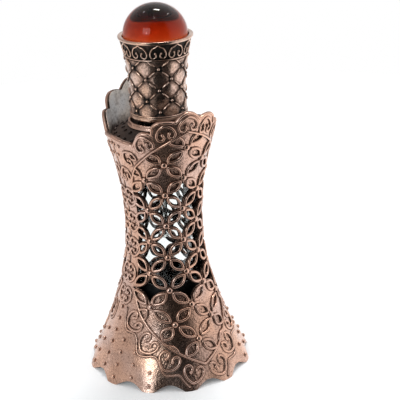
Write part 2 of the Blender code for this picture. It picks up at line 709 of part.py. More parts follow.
def make_insert(group, cutters, material):
    """Threaded insert of the cap, with a socket for the dipping stick."""
    bottom = CAP_BOTTOM + INSERT_RECESS
    socket_bottom = INSERT_CEILING - SOCKET_DEPTH
    socket_top = INSERT_CEILING + SOCKET_CROWN
    profile = [(0.0, INSERT_TOP), (INSERT_OUTER_RADIUS, INSERT_TOP)]
    profile += [(INSERT_OUTER_RADIUS, bottom), (INSERT_INNER_RADIUS, bottom)]
    profile += [(INSERT_INNER_RADIUS, INSERT_CEILING), (SOCKET_OUTER_RADIUS, INSERT_CEILING)]
    profile += [(SOCKET_OUTER_RADIUS, socket_bottom), (SOCKET_RADIUS, socket_bottom)]
    profile += [(SOCKET_RADIUS, socket_top), (0.0, socket_top)]
    item = make_turned("cap_insert", profile, group, material)
    ridge_bottom = NECK_TOP - THREAD_TOP_DROP - THREAD_PITCH * (THREAD_TURNS + 0.5)
    ridge = thread_ridge("insert_thread", INSERT_INNER_RADIUS, ridge_bottom, cutters)
    add_boolean(item, ridge, "UNION")
    return item


def make_seal(group, material):
    """Soft ring that the insert presses on the rim of the neck."""
    inner = SOCKET_OUTER_RADIUS + FIT_GAP
    top = SEAL_BOTTOM + SEAL_THICKNESS
    outer = NECK_RADIUS + FIT_GAP
    profile = [(inner, top), (outer, top), (outer, SEAL_BOTTOM), (inner, SEAL_BOTTOM)]
    return make_turned("sealing_washer", profile, group, material, SMALL_ROUND_STEPS, closed=True)


def make_stick(group, material):
    """Glass stick with a thicker round tip."""
    top = INSERT_CEILING + SOCKET_CROWN - FIT_GAP
    tip = VIAL_FLOOR_TOP + STICK_FLOOR_GAP
    centre = (0.0, tip + STICK_TIP_RADIUS)
    ball = (STICK_TIP_RADIUS, STICK_TIP_RADIUS)
    start = math.degrees(math.acos(STICK_RADIUS / STICK_TIP_RADIUS))
    profile = [(0.0, top), (STICK_RADIUS, top)]
    profile += arc_points(centre, ball, start, -90, ARC_STEPS)[:-1]
    profile += [(0.0, tip)]
    return make_turned("dipping_stick", profile, group, material, SMALL_ROUND_STEPS)


def make_stone(group, material):
    """Domed glass stone with a flat underside."""
    dome = (STONE_RADIUS, STONE_RISE)
    profile = [(0.0, STONE_TOP)]
    profile += arc_points((0.0, CAP_LIP_HEIGHT), dome, 90, 0, FINE_ARC_STEPS)[1:]
    profile += [(STONE_RADIUS, STONE_BOTTOM + STONE_BEVEL), (STONE_RADIUS - STONE_BEVEL, STONE_BOTTOM)]
    profile += [(0.0, STONE_BOTTOM)]
    return make_turned("amber_stone", profile, group, material)


def main():
    """Build the bottle."""
    clear_scene()
    group = new_collection("perfume_oil_bottle")
    cutters = new_collection("cutters")
    copper = new_material("aged_copper", (0.42, 0.25, 0.18), 0.38, 1.0)
    pewter = new_material("dull_pewter", (0.28, 0.26, 0.25), 0.5, 1.0)
    glass = new_material("clear_glass", (0.95, 0.97, 0.96), 0.03, 0.0, 1.0)
    amber = new_material("amber_glass", (0.75, 0.13, 0.03), 0.03, 0.0, 1.0)
    plastic = new_material("black_plastic", (0.02, 0.02, 0.02), 0.45, 0.0)
    white = new_material("white_plastic", (0.75, 0.74, 0.71), 0.45, 0.0)
    foam = new_material("grey_foam", (0.2, 0.2, 0.2), 0.95, 0.0)
    felt = new_material("black_felt", (0.03, 0.025, 0.025), 1.0, 0.0)
    back_height = FRONT_COLLAR_HEIGHT + BACK_COLLAR_RISE
    make_case_half("front_case", FRONT_COLLAR_HEIGHT, False, group, cutters, copper)
    make_case_half("back_case", back_height, True, group, cutters, copper)
    make_dish(group, pewter)
    make_neck_ring(group, copper)
    make_vial(group, cutters, glass)
    make_foot(group, plastic)
    pad_top = VIAL_BASE_HEIGHT - FIT_GAP
    make_disc("vial_pad", VIAL_RADIUS, pad_top - PAD_THICKNESS, pad_top, group, foam)
    felt_top = FLANGE_HEIGHT - FIT_GAP
    felt_radius = case_inner_radius(FLANGE_TOP) - FIT_GAP - FELT_MARGIN
    make_disc("base_felt", felt_radius, felt_top - FELT_THICKNESS, felt_top, group, felt)
    make_cap_shell(group, copper)
    make_insert(group, cutters, white)
    make_seal(group, foam)
    make_stick(group, glass)
    make_disc("stone_seat", STONE_RADIUS, SEAT_BOTTOM, SEAT_TOP, group, plastic)
    make_stone(group, amber)


main()
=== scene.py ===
"""Dressed model of a perfume oil bottle.

A cast case in aged copper stands on a scalloped hem and narrows to a pierced waist, through which
a clear glass vial shows. A quilted screw cap carries a domed stone of amber red glass. Sizes in the
classes are in millimetres and degrees unless they say otherwise, and meshes are in metres.
"""

import logging
import math
from collections.abc import Callable, Sequence
from dataclasses import dataclass
from enum import Enum

import bpy
import numpy as np
from mathutils import Matrix, Vector
from mathutils.geometry import delaunay_2d_cdt
from mathutils.kdtree import KDTree


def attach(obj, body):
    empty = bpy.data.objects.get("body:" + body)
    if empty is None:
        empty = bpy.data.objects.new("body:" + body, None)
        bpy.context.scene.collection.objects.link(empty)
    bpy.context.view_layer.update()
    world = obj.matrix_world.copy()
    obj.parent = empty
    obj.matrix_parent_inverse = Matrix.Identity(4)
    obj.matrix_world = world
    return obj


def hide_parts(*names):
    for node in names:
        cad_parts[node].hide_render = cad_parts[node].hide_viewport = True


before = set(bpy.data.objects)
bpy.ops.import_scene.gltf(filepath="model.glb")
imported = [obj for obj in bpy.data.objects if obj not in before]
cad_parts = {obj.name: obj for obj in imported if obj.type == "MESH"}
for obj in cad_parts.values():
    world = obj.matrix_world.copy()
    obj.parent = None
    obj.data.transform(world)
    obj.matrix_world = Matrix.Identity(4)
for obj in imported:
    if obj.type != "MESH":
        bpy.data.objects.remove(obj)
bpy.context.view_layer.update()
LOG = logging.getLogger("perfume_oil_bottle")
MM = 0.001
DEGREE = math.pi / 180.0
FULL_TURN = 2 * math.pi
SEAM = 90.0
FRONT, BACK = np.ones(3), np.array([-1.0, -1.0, 1.0])
FLOAT, WHOLE, TINT = "NodeSocketFloat", "NodeSocketInt", "NodeSocketColor"
GEOMETRY, MATERIAL = "NodeSocketGeometry", "NodeSocketMaterial"

Material, Mesh = bpy.types.Material, bpy.types.Mesh
Node, NodeTree, Socket = bpy.types.Node, bpy.types.NodeTree, bpy.types.NodeSocket
Colour = tuple[float, float, float]
Flat = tuple[float, float]
Number = float | np.ndarray
Push = Callable[[np.ndarray, np.ndarray], np.ndarray]
WHITE: Colour = (1.0, 1.0, 1.0)


class Body(Enum):
    """Bodies that the pieces ride on."""

    HOUSING = "housing"
    CAP = "cap"


class Slot(Enum):
    """Finishes that the record names."""

    COPPER = "aged_copper"
    PEWTER = "dull_pewter"
    CLEAR = "clear_glass"
    AMBER = "amber_glass"
    BLACK = "black_plastic"
    WHITE = "white_plastic"


class Coat(Enum):
    """Finishes as they are seen, of which two or more may belong to one slot."""

    COPPER = "aged copper"
    CAP = "darker copper of the cap"
    INNER = "dull grey casting"
    DISH = "brown pewter"
    BEADS = "dark beads"
    CLEAR = "clear glass"
    MOULDED = "rough moulded glass"
    AMBER = "amber red glass"
    BLACK = "black moulding"
    WHITE = "white moulding"
    FOAM = "grey foam"
    FELT = "black felt"
    SEAT = "pale seat with a dark edge"


# ---- node trees ----


class Graph:
    """Adds nodes to one shader or geometry tree and joins them."""

    def __init__(self, tree: NodeTree) -> None:
        """Work on a tree."""
        self.tree = tree

    def feed(self, node: Node, inputs: dict) -> Node:
        """Join sockets to a node's inputs and set its plain values.

        Args:
            node: Node that takes them.
            inputs: Values or sockets by input name or number.

        Returns:
            The node.
        """
        for key, value in inputs.items():
            if isinstance(value, Socket):
                self.tree.links.new(value, node.inputs[key])
            elif node.inputs[key].type == "RGBA":
                node.inputs[key].default_value = (*value, 1.0)
            else:
                node.inputs[key].default_value = value
        return node

    def node(self, kind: str, settings: dict | None = None, inputs: dict | None = None) -> Node:
        """Add a node.

        Args:
            kind: Node type.
            settings: Properties of the node by name.
            inputs: Values or sockets by input name or number.

        Returns:
            The new node.
        """
        made = self.tree.nodes.new(kind)
        for name, value in (settings or {}).items():
            setattr(made, name, value)
        return self.feed(made, inputs or {})

    def math(self, operation: str, *values: object) -> Socket:
        """Return a sum, product or other result of values."""
        return self.node("ShaderNodeMath", {"operation": operation}, dict(enumerate(values))).outputs[0]

    def times(self, first: object, second: object) -> Socket:
        """Return the product of two values."""
        return self.math("MULTIPLY", first, second)

    def line(self, value: object, gain: object, base: object) -> Socket:
        """Return a value times a gain, plus a base."""
        return self.math("MULTIPLY_ADD", value, gain, base)

    def rest(self, share: Socket) -> Socket:
        """Return what a share leaves of 1."""
        return self.line(share, -1.0, 1.0)

    def vector(self, operation: str, *values: object) -> Node:
        """Return a node that works on vectors."""
        return self.node("ShaderNodeVectorMath", {"operation": operation}, dict(enumerate(values)))

    def reach(self, place: Socket) -> Socket:
        """Return how far a place lies from the upright axis."""
        flat = self.vector("MULTIPLY", place, (1.0, 1.0, 0.0)).outputs[0]
        return self.vector("LENGTH", flat).outputs["Value"]

    def smooth(self, value: object, low: float, high: float) -> Socket:
        """Return a smooth step from 0 at low to 1 at high."""
        return self.node("ShaderNodeMapRange", {"interpolation_type": "SMOOTHSTEP"},
                         {0: value, 1: low, 2: high}).outputs[0]

    def mix(self, share: object, first: object, second: object) -> Socket:
        """Return a value between two values."""
        return self.node("ShaderNodeMix", {"data_type": "FLOAT"},
                         {0: share, 2: first, 3: second}).outputs[0]

    def tint(self, share: object, first: object, second: object, blend: str = "MIX") -> Socket:
        """Return a colour between two colours, or another blend of them."""
        return self.node("ShaderNodeMix", {"data_type": "RGBA", "blend_type": blend},
                         {0: share, 6: first, 7: second}).outputs[2]

    def noise(self, place: object, scale: object, detail: float = 3.0) -> Socket:
        """Return a noise value at a place, with its scale in waves to the metre."""
        return self.node("ShaderNodeTexNoise", None,
                         {"Vector": place, "Scale": scale, "Detail": detail}).outputs[0]

    def place(self) -> Socket:
        """Return the place in the bottle's own frame."""
        return self.node("ShaderNodeTexCoord").outputs["Object"]

    def parts(self, vector: Socket) -> bpy.types.bpy_prop_collection:
        """Return a vector's three values as sockets by letter."""
        return self.node("ShaderNodeSeparateXYZ", None, {0: vector}).outputs

    def stored(self, name: str) -> Socket:
        """Return the value that a mesh stores under a name."""
        return self.node("ShaderNodeAttribute", {"attribute_name": name}).outputs["Fac"]

    def effect(self, tree: NodeTree, inputs: dict) -> bpy.types.bpy_prop_collection:
        """Place a shared effect in a material and return its outputs."""
        return self.node("ShaderNodeGroup", {"node_tree": tree}, inputs).outputs

    def bump(self, height: Socket, strength: float, depth: float) -> Socket:
        """Return the normal over a height whose depth is given in metres."""
        return self.node("ShaderNodeBump", None,
                         {"Strength": strength, "Distance": depth, "Height": height}).outputs[0]


def new_group(name: str, kind: str, inputs: Sequence[tuple],
              outputs: Sequence[tuple[str, str]]) -> tuple[Graph, bpy.types.bpy_prop_collection, Node]:
    """Start a node group.

    Args:
        name: Name of the group.
        kind: Type of its tree.
        inputs: Name, socket type and default of each input.
        outputs: Name and socket type of each output.

    Returns:
        The graph, the sockets that give the inputs and the node that takes the outputs.
    """
    tree = bpy.data.node_groups.new(name, kind)
    for label, socket_kind, default in inputs:
        socket = tree.interface.new_socket(label, in_out="INPUT", socket_type=socket_kind)
        if default is not None:
            socket.default_value = (*default, 1.0) if socket_kind == TINT else default
    for label, socket_kind in outputs:
        tree.interface.new_socket(label, in_out="OUTPUT", socket_type=socket_kind)
    graph = Graph(tree)
    take, give = graph.node("NodeGroupInput"), graph.node("NodeGroupOutput")
    return graph, take.outputs, give


# ---- shared shader effects ----


@dataclass(frozen=True)
class EffectGroups:
    """Shader node groups that the finishes share."""

    patina_and_shade: NodeTree
    speckle: NodeTree
    smudge: NodeTree


def build_patina_and_shade() -> NodeTree:
    """Build the effect of cast metal that is dark in its recesses, partly from patina and partly from
    painted shade, and rubbed bright on its relief.

    Returns:
        The node group.
    """
    graph, take, give = new_group(
        "rubbed patina", "ShaderNodeTree",
        (("Relief", FLOAT, 1.0), ("Grain", FLOAT, 0.0), ("Bright", TINT, (0.7, 0.35, 0.22)),
         ("Middle", TINT, (0.35, 0.16, 0.11)), ("Dark", TINT, (0.03, 0.015, 0.01)), ("Polish", FLOAT, 0.3)),
        (("Colour", TINT), ("Roughness", FLOAT), ("Metal", FLOAT), ("Height", FLOAT)))
    place, grain = graph.place(), take["Grain"]
    cloud, patch = graph.noise(place, 170.0), graph.noise(place, 75.0, 2.0)
    sand, pit = graph.noise(place, 2500.0, 2.0), graph.noise(place, 900.0, 4.0)
    specks = graph.rest(graph.smooth(graph.noise(place, 1700.0, 1.0), 0.36, 0.46))
    level = graph.math("ADD", take["Relief"], graph.line(cloud, 0.75, -0.375))
    level = graph.line(graph.math("SUBTRACT", pit, 0.5), graph.line(grain, 1.3, 0.25), level)
    # Low relief darkens the colour: patina in the hollows, plus painted shade in crevices, in the seam
    # groove and low on the inner side.
    low = graph.tint(graph.smooth(level, 0.02, 0.5), take["Dark"], take["Middle"])
    warmth = graph.tint(graph.smooth(patch, 0.36, 0.64), (0.95, 1.0, 1.05), (1.04, 0.98, 0.9))
    rubbed = graph.tint(1.0, take["Bright"], warmth, "MULTIPLY")
    clean = graph.tint(graph.smooth(level, 0.5, 1.05), low, rubbed)
    dull = graph.mix(graph.smooth(level, 0.1, 0.95), 0.6, take["Polish"])
    coarse = graph.times(pit, graph.line(grain, 2.6, 0.15))
    graph.feed(give, {
        "Colour": graph.tint(graph.times(specks, grain), clean, take["Dark"]),
        "Roughness": graph.math("ADD", dull, graph.line(sand, 0.16, -0.072)),
        "Metal": graph.mix(graph.smooth(level, 0.0, 0.45), 0.7, 1.0),
        "Height": graph.line(sand, graph.line(grain, 1.5, 0.1), coarse)})
    return graph.tree


def build_speckle() -> NodeTree:
    """Build a fine two-tone speckle for moulded plastic, foam, felt and cement.

    Returns:
        The node group.
    """
    graph, take, give = new_group(
        "fine speckle", "ShaderNodeTree",
        (("Waves", FLOAT, 900.0), ("Light", TINT, (0.5, 0.5, 0.5)), ("Deep", TINT, (0.3, 0.3, 0.3))),
        (("Colour", TINT), ("Height", FLOAT)))
    place = graph.place()
    fine, broad = graph.noise(place, take["Waves"], 4.0), graph.noise(place, 140.0, 2.0)
    share = graph.smooth(graph.line(fine, 0.7, graph.times(broad, 0.3)), 0.32, 0.68)
    graph.feed(give, {"Colour": graph.tint(share, take["Deep"], take["Light"]), "Height": fine})
    return graph.tree


def build_smudge() -> NodeTree:
    """Build faint smudges that dull a surface in patches.

    Returns:
        The node group.
    """
    graph, take, give = new_group(
        "faint smudges", "ShaderNodeTree", (("Clean", FLOAT, 0.02), ("Smudged", FLOAT, 0.12)),
        (("Roughness", FLOAT),))
    patch = graph.smooth(graph.noise(graph.place(), 120.0), 0.52, 0.78)
    graph.feed(give, {"Roughness": graph.mix(patch, take["Clean"], take["Smudged"])})
    return graph.tree


# ---- finishes ----


def new_material(name: str) -> tuple[Graph, Node, Material]:
    """Start a material.

    Args:
        name: Name of the material.

    Returns:
        Its graph, its Principled shader and the material.
    """
    material = bpy.data.materials.new(name)
    material.use_nodes = True
    return Graph(material.node_tree), material.node_tree.nodes["Principled BSDF"], material


class Finish:
    """A finish that can be made into a material."""

    def dress(self, graph: Graph, shader: Node, groups: EffectGroups) -> None:
        """Feed the shader, which each kind of finish does in its own way."""
        raise NotImplementedError

    def build(self, name: str, groups: EffectGroups) -> Material:
        """Make the material.

        Args:
            name: Name of the material.
            groups: Shared effects.

        Returns:
            The material.
        """
        graph, shader, material = new_material(name)
        self.dress(graph, shader, groups)
        return material


@dataclass(frozen=True)
class MetalFinish(Finish):
    """Plated cast metal with a rubbed patina and painted shade in its recesses."""

    bright: Colour
    middle: Colour
    dark: Colour
    polish: float
    bump: Flat = (0.6, 0.00012)

    def dress(self, graph: Graph, shader: Node, groups: EffectGroups) -> None:
        """Feed the shader with the patina and the painted shade that the relief carries.

        Args:
            graph: Graph of the material.
            shader: Principled shader.
            groups: Shared effects.
        """
        patina_and_shade = graph.effect(groups.patina_and_shade, {
            "Relief": graph.stored("relief"), "Grain": graph.stored("grain"), "Bright": self.bright,
            "Middle": self.middle, "Dark": self.dark, "Polish": self.polish})
        graph.feed(shader, {
            "Base Color": patina_and_shade["Colour"], "Roughness": patina_and_shade["Roughness"],
            "Metallic": patina_and_shade["Metal"], "Normal": graph.bump(patina_and_shade["Height"], *self.bump)})


@dataclass(frozen=True)
class GlassFinish(Finish):
    """Polished glass with faint smudges, and a body colour that deepens with its thickness."""

    colour: Colour
    smudged: float
    body_colour: Colour = WHITE
    body_density: float = 0.0
    shine: Colour = WHITE
    index: float = 1.5

    def dress(self, graph: Graph, shader: Node, groups: EffectGroups) -> None:
        """Feed the shader and, where the glass has one, the body colour.

        Args:
            graph: Graph of the material.
            shader: Principled shader.
            groups: Shared effects.
        """
        smudge = graph.effect(groups.smudge, {"Clean": 0.0, "Smudged": self.smudged})
        graph.feed(shader, {
            "Base Color": self.colour, "Transmission Weight": 1.0, "IOR": self.index,
            "Specular Tint": self.shine, "Roughness": smudge["Roughness"]})
        if self.body_density:
            body = graph.node("ShaderNodeVolumeAbsorption", None,
                              {"Color": self.body_colour, "Density": self.body_density})
            graph.feed(graph.tree.nodes["Material Output"], {"Volume": body.outputs[0]})


@dataclass(frozen=True)
class MattFinish(Finish):
    """Moulded plastic, foam or felt with a fine speckle."""

    light: Colour
    deep: Colour
    waves: float
    roughness: float
    bump_depth: float
    sheen: float = 0.0

    def dress(self, graph: Graph, shader: Node, groups: EffectGroups) -> None:
        """Feed the shader with the speckle and the smudges.

        Args:
            graph: Graph of the material.
            shader: Principled shader.
            groups: Shared effects.
        """
        speckle = graph.effect(groups.speckle, {"Waves": self.waves, "Light": self.light, "Deep": self.deep})
        smudge = graph.effect(groups.smudge, {"Clean": self.roughness, "Smudged": self.roughness + 0.15})
        graph.feed(shader, {
            "Sheen Weight": self.sheen, "Base Color": speckle["Colour"], "Roughness": smudge["Roughness"],
            "Normal": graph.bump(speckle["Height"], 0.5, self.bump_depth)})


@dataclass(frozen=True)
class SeatFinish(Finish):
    """Pale disc that the stone is cemented to, dark and speckled round its edge."""

    middle: Colour
    rim: Colour
    edge: float
    blend: float = 0.5
    waves: float = 1500.0

    def dress(self, graph: Graph, shader: Node, groups: EffectGroups) -> None:
        """Feed the shader with the pale middle and the dark edge.

        Args:
            graph: Graph of the material.
            shader: Principled shader.
            groups: Shared effects.
        """
        outer = graph.smooth(graph.reach(graph.place()), self.edge * MM, (self.edge + self.blend) * MM)
        deep = tuple(0.8 * part for part in self.rim)
        speckle = graph.effect(groups.speckle, {"Waves": self.waves, "Light": self.rim, "Deep": deep})
        smudge = graph.effect(groups.smudge, {"Clean": 0.5, "Smudged": 0.7})
        graph.feed(shader, {
            "Base Color": graph.tint(outer, self.middle, speckle["Colour"]),
            "Roughness": smudge["Roughness"], "Normal": graph.bump(speckle["Height"], 0.4, 0.00004)})


FINISHES = {
    Coat.COPPER: MetalFinish((0.65, 0.41, 0.32), (0.34, 0.20, 0.15), (0.026, 0.016, 0.012), 0.23),
    Coat.CAP: MetalFinish((0.71, 0.475, 0.37), (0.23, 0.148, 0.115), (0.012, 0.009, 0.007), 0.15),
    Coat.INNER: MetalFinish((0.86, 0.83, 0.80), (0.16, 0.13, 0.12), (0.018, 0.013, 0.012), 0.55),
    Coat.DISH: MetalFinish((0.11, 0.075, 0.062), (0.085, 0.058, 0.047), (0.03, 0.021, 0.018), 0.9),
    Coat.BEADS: MetalFinish((0.035, 0.025, 0.022), (0.02, 0.015, 0.013), (0.01, 0.008, 0.007), 0.2),
    Coat.CLEAR: GlassFinish((0.96, 0.98, 0.97), 0.05),
    Coat.MOULDED: GlassFinish((0.4, 0.42, 0.42), 0.3, index=1.08),
    Coat.AMBER: GlassFinish((0.72, 0.68, 0.45), 0.03, (0.875, 0.33, 0.015), 190.0, (0.5, 0.42, 0.4)),
    Coat.BLACK: MattFinish((0.022, 0.021, 0.02), (0.008, 0.008, 0.008), 1400.0, 0.42, 0.00004),
    Coat.WHITE: MattFinish((0.74, 0.73, 0.70), (0.66, 0.65, 0.62), 1100.0, 0.4, 0.00003),
    Coat.FOAM: MattFinish((0.26, 0.26, 0.26), (0.12, 0.12, 0.12), 2200.0, 0.85, 0.0002),
    Coat.FELT: MattFinish((0.03, 0.027, 0.027), (0.008, 0.007, 0.007), 2800.0, 0.95, 0.0003, 0.05),
    Coat.SEAT: SeatFinish((0.86, 0.8, 0.72), (0.014, 0.01, 0.01), 10.2),
}


# ---- geometry node trees ----


def rubbed(graph: Graph, shape: Socket, axis: str, gain: float, base: float) -> Socket:
    """Store on a shape how rubbed it is, from how high each of its points lies: rubbed wear on its crest and
    painted shade at its foot.

    Args:
        graph: Graph of the geometry tree.
        shape: The shape, whose top is at 1.
        axis: Letter of the axis that points up.
        gain: How fast the value grows with the height.
        base: Value at the height of 0.

    Returns:
        The marked shape.
    """
    # Painted shade at the foot of each cord or stud, rubbed wear on its crest.
    height = graph.parts(graph.node("GeometryNodeInputPosition").outputs[0])[axis]
    return graph.node("GeometryNodeStoreNamedAttribute", {"data_type": "FLOAT", "domain": "POINT"},
                      {"Geometry": shape, "Name": "relief",
                       "Value": graph.line(height, gain, base)}).outputs[0]


def settled(graph: Graph, shape: Socket, finish: Socket) -> Socket:
    """Make a shape's copies real, smooth them and give them a finish.

    Args:
        graph: Graph of the geometry tree.
        shape: The shape or its copies.
        finish: Material.

    Returns:
        The plain shape.
    """
    real = graph.node("GeometryNodeRealizeInstances", None, {"Geometry": shape}).outputs[0]
    smooth = graph.node("GeometryNodeSetShadeSmooth", None, {"Geometry": real}).outputs[0]
    return graph.node("GeometryNodeSetMaterial", None, {"Geometry": smooth, "Material": finish}).outputs[0]


def named_vector(graph: Graph, name: str) -> Socket:
    """Return the vector that the seed mesh stores under a name."""
    return graph.node("GeometryNodeInputNamedAttribute", {"data_type": "FLOAT_VECTOR"},
                      {"Name": name}).outputs[0]


def build_cord_tree() -> NodeTree:
    """Build the tree that lays a raised cord along every line of a mesh of lines.

    Returns:
        The geometry tree.
    """
    graph, take, give = new_group(
        "laid cords", "GeometryNodeTree",
        (("Lines", GEOMETRY, None), ("Half width", FLOAT, 0.0005), ("Height", FLOAT, 0.0005),
         ("Sides", WHOLE, 8), ("Finish", MATERIAL, None)), (("Cords", GEOMETRY),))
    curve = graph.node("GeometryNodeMeshToCurve", None, {"Mesh": take["Lines"]}).outputs[0]
    path = graph.node("GeometryNodeSetCurveNormal", {"mode": "FREE"},
                      {"Curve": curve, "Normal": named_vector(graph, "facing")}).outputs[0]
    ring = graph.node("GeometryNodeCurvePrimitiveCircle", None, {"Resolution": take["Sides"], "Radius": 1.0})
    size = graph.node("ShaderNodeCombineXYZ", None,
                      {"X": take["Height"], "Y": take["Half width"], "Z": 1.0}).outputs[0]
    section = graph.node("GeometryNodeTransform", None,
                         {"Geometry": rubbed(graph, ring.outputs[0], "X", 0.6, 0.45), "Scale": size})
    tube = graph.node("GeometryNodeCurveToMesh", None,
                      {"Curve": path, "Profile Curve": section.outputs[0], "Fill Caps": True})
    graph.feed(give, {"Cords": settled(graph, tube.outputs[0], take["Finish"])})
    return graph.tree


def build_stud_tree() -> NodeTree:
    """Build the tree that sets a domed stud on every point of a mesh of points.

    Returns:
        The geometry tree.
    """
    graph, take, give = new_group(
        "set studs", "GeometryNodeTree",
        (("Points", GEOMETRY, None), ("Segments", WHOLE, 14), ("Rings", WHOLE, 8),
         ("Finish", MATERIAL, None)), (("Studs", GEOMETRY),))
    ball = graph.node("GeometryNodeMeshUVSphere", None,
                      {"Segments": take["Segments"], "Rings": take["Rings"], "Radius": 1.0})
    upright = graph.node("FunctionNodeAlignRotationToVector", {"axis": "Z"},
                         {"Vector": named_vector(graph, "facing")}).outputs[0]
    turned_to = graph.node("FunctionNodeAlignRotationToVector", {"axis": "X", "pivot_axis": "Z"},
                           {"Rotation": upright, "Vector": named_vector(graph, "along")}).outputs[0]
    many = graph.node("GeometryNodeInstanceOnPoints", None, {
        "Points": take["Points"], "Instance": rubbed(graph, ball.outputs["Mesh"], "Z", 0.7, 0.4),
        "Rotation": turned_to, "Scale": named_vector(graph, "size")})
    graph.feed(give, {"Studs": settled(graph, many.outputs[0], take["Finish"])})
    return graph.tree


class Workshop:
    """The finishes and the geometry trees that the pieces are made with, each built once."""

    def __init__(self) -> None:
        """Build the shared effects, each material and both trees."""
        groups = EffectGroups(build_patina_and_shade(), build_speckle(), build_smudge())
        self.materials = {coat: finish.build(coat.value, groups) for coat, finish in FINISHES.items()}
        self.cords, self.studs = build_cord_tree(), build_stud_tree()

    def __getitem__(self, coat: Coat) -> Material:
        """Return the material of a coat."""
        return self.materials[coat]


# ---- meshes ----


def shaped(mesh: Mesh, kind: str, settings: dict, values: dict | None = None) -> Mesh:
    """Run one modifier on a mesh.

    Args:
        mesh: Mesh that it starts from.
        kind: Type of the modifier.
        settings: Properties of the modifier by name.
        values: Inputs of its geometry tree by name.

    Returns:
        A plain mesh.
    """
    holder = bpy.data.objects.new(mesh.name, mesh)
    bpy.context.scene.collection.objects.link(holder)
    modifier = holder.modifiers.new(kind, kind)
    for name, value in settings.items():
        setattr(modifier, name, value)
    for item in modifier.node_group.interface.items_tree if values else ():
        if item.item_type == "SOCKET" and item.in_out == "INPUT" and item.name in values:
            modifier[item.identifier] = values[item.name]
    depsgraph = bpy.context.evaluated_depsgraph_get()
    made = bpy.data.meshes.new_from_object(holder.evaluated_get(depsgraph))
    holder.modifiers.remove(modifier)
    bpy.data.objects.remove(holder, do_unlink=True)
    return made


def mark(mesh: Mesh, name: str, values: np.ndarray) -> None:
    """Store one value, or one vector, for each vertex of a mesh.

    Args:
        mesh: Mesh that takes the values.
        name: Name of the attribute, which is new or is written over.
        values: Numbers, as N or N by 3.
    """
    kind, key = ("FLOAT_VECTOR", "vector") if values.ndim == 2 else ("FLOAT", "value")
    layer = mesh.attributes.get(name) or mesh.attributes.new(name, kind, "POINT")
    layer.data.foreach_set(key, np.ascontiguousarray(values, np.float32).ravel())


def marked(mesh: Mesh, name: str) -> np.ndarray:
    """Read back the values that a mesh stores.

    Args:
        mesh: Mesh that has them.
        name: Name of the attribute.

    Returns:
        One value for each vertex.
    """
    values = np.zeros(len(mesh.vertices), np.float32)
    mesh.attributes[name].data.foreach_get("value", values)
    return values


def vertex_places(mesh: Mesh) -> np.ndarray:
    """Read the vertices of a mesh.

    Args:
        mesh: The mesh.

    Returns:
        Their places in metres, N by 3.
    """
    places = np.zeros(len(mesh.vertices) * 3, np.float32)
    mesh.vertices.foreach_get("co", places)
    return places.reshape(-1, 3)


def distances(marks: np.ndarray, places: np.ndarray) -> np.ndarray:
    """Measure how far each place is from the nearest mark.

    Args:
        marks: Marks, N by 3.
        places: Places, M by 3.

    Returns:
        M distances.
    """
    tree = KDTree(len(marks))
    for index, spot in enumerate(marks):
        tree.insert(spot, index)
    tree.balance()
    return np.array([tree.find(place)[2] for place in places])


def add_piece(name: str, mesh: Mesh, body: Body, slot: Slot, replaces: Sequence[str] = (),
              finishes: Sequence[Material] = ()) -> None:
    """Put a finished mesh in the scene as a piece of the object.

    Args:
        name: Name of the piece.
        mesh: Mesh in the frame of the object.
        body: Body that the piece rides on.
        slot: Slot of the record that its finish comes from; it is not used.
        replaces: Solids of the frame that the piece stands for.
        finishes: Materials that the mesh doesn't have yet.
    """
    mesh.name = name
    for finish in finishes:
        mesh.materials.append(finish)
    piece = bpy.data.objects.new(name, mesh)
    bpy.context.scene.collection.objects.link(piece)
    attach(piece, body.value)
    if replaces:
        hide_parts(*replaces)
    LOG.info("%s: %d faces, rides on %s", name, len(mesh.polygons), body.value)


def soften(outline: Sequence[Flat], cut: float, steps: int = 4, closed: bool = False) -> list[Flat]:
    """Round the corners of an outline.

    Args:
        outline: Corners of the outline.
        cut: Longest length that a corner may take from each side.
        steps: Number of steps round a corner.
        closed: Whether the outline is a ring.

    Returns:
        The rounded outline.
    """
    points = [np.array(point, float) for point in outline]
    count = len(points)
    rounded: list[Flat] = []
    for index, corner in enumerate(points):
        if not closed and index in (0, count - 1):
            rounded.append(tuple(corner))
            continue
        sides = [points[index - 1] - corner, points[(index + 1) % count] - corner]
        spans = [np.linalg.norm(side) for side in sides]
        room = min(cut, *(0.45 * span for span in spans))
        start, end = (corner + side / span * room for side, span in zip(sides, spans))
        for step in range(steps + 1):
            share = step / steps
            bend = start * (1 - share) ** 2 + corner * 2 * share * (1 - share) + end * share ** 2
            rounded.append((float(bend[0]), float(bend[1])))
    return rounded


def refine(outline: Sequence[Flat], step: float) -> list[Flat]:
    """Add points to an outline until none of its steps is longer than a length.

    Args:
        outline: Points of the outline.
        step: The length.

    Returns:
        The outline with more points.
    """
    fine = [tuple(outline[0])]
    for (x0, y0), (x1, y1) in zip(outline, outline[1:]):
        count = max(1, math.ceil(math.dist((x0, y0), (x1, y1)) / step))
        shares = [index / count for index in range(1, count + 1)]
        fine += [(x0 + (x1 - x0) * share, y0 + (y1 - y0) * share) for share in shares]
    return fine


def arc(centre: Flat, reach: Flat, start: float, end: float, count: int) -> list[Flat]:
    """Return points along part of an ellipse, with its angles in degrees."""
    turns = np.linspace(start, end, count + 1) * DEGREE
    return [(centre[0] + reach[0] * math.cos(turn), centre[1] + reach[1] * math.sin(turn)) for turn in turns]


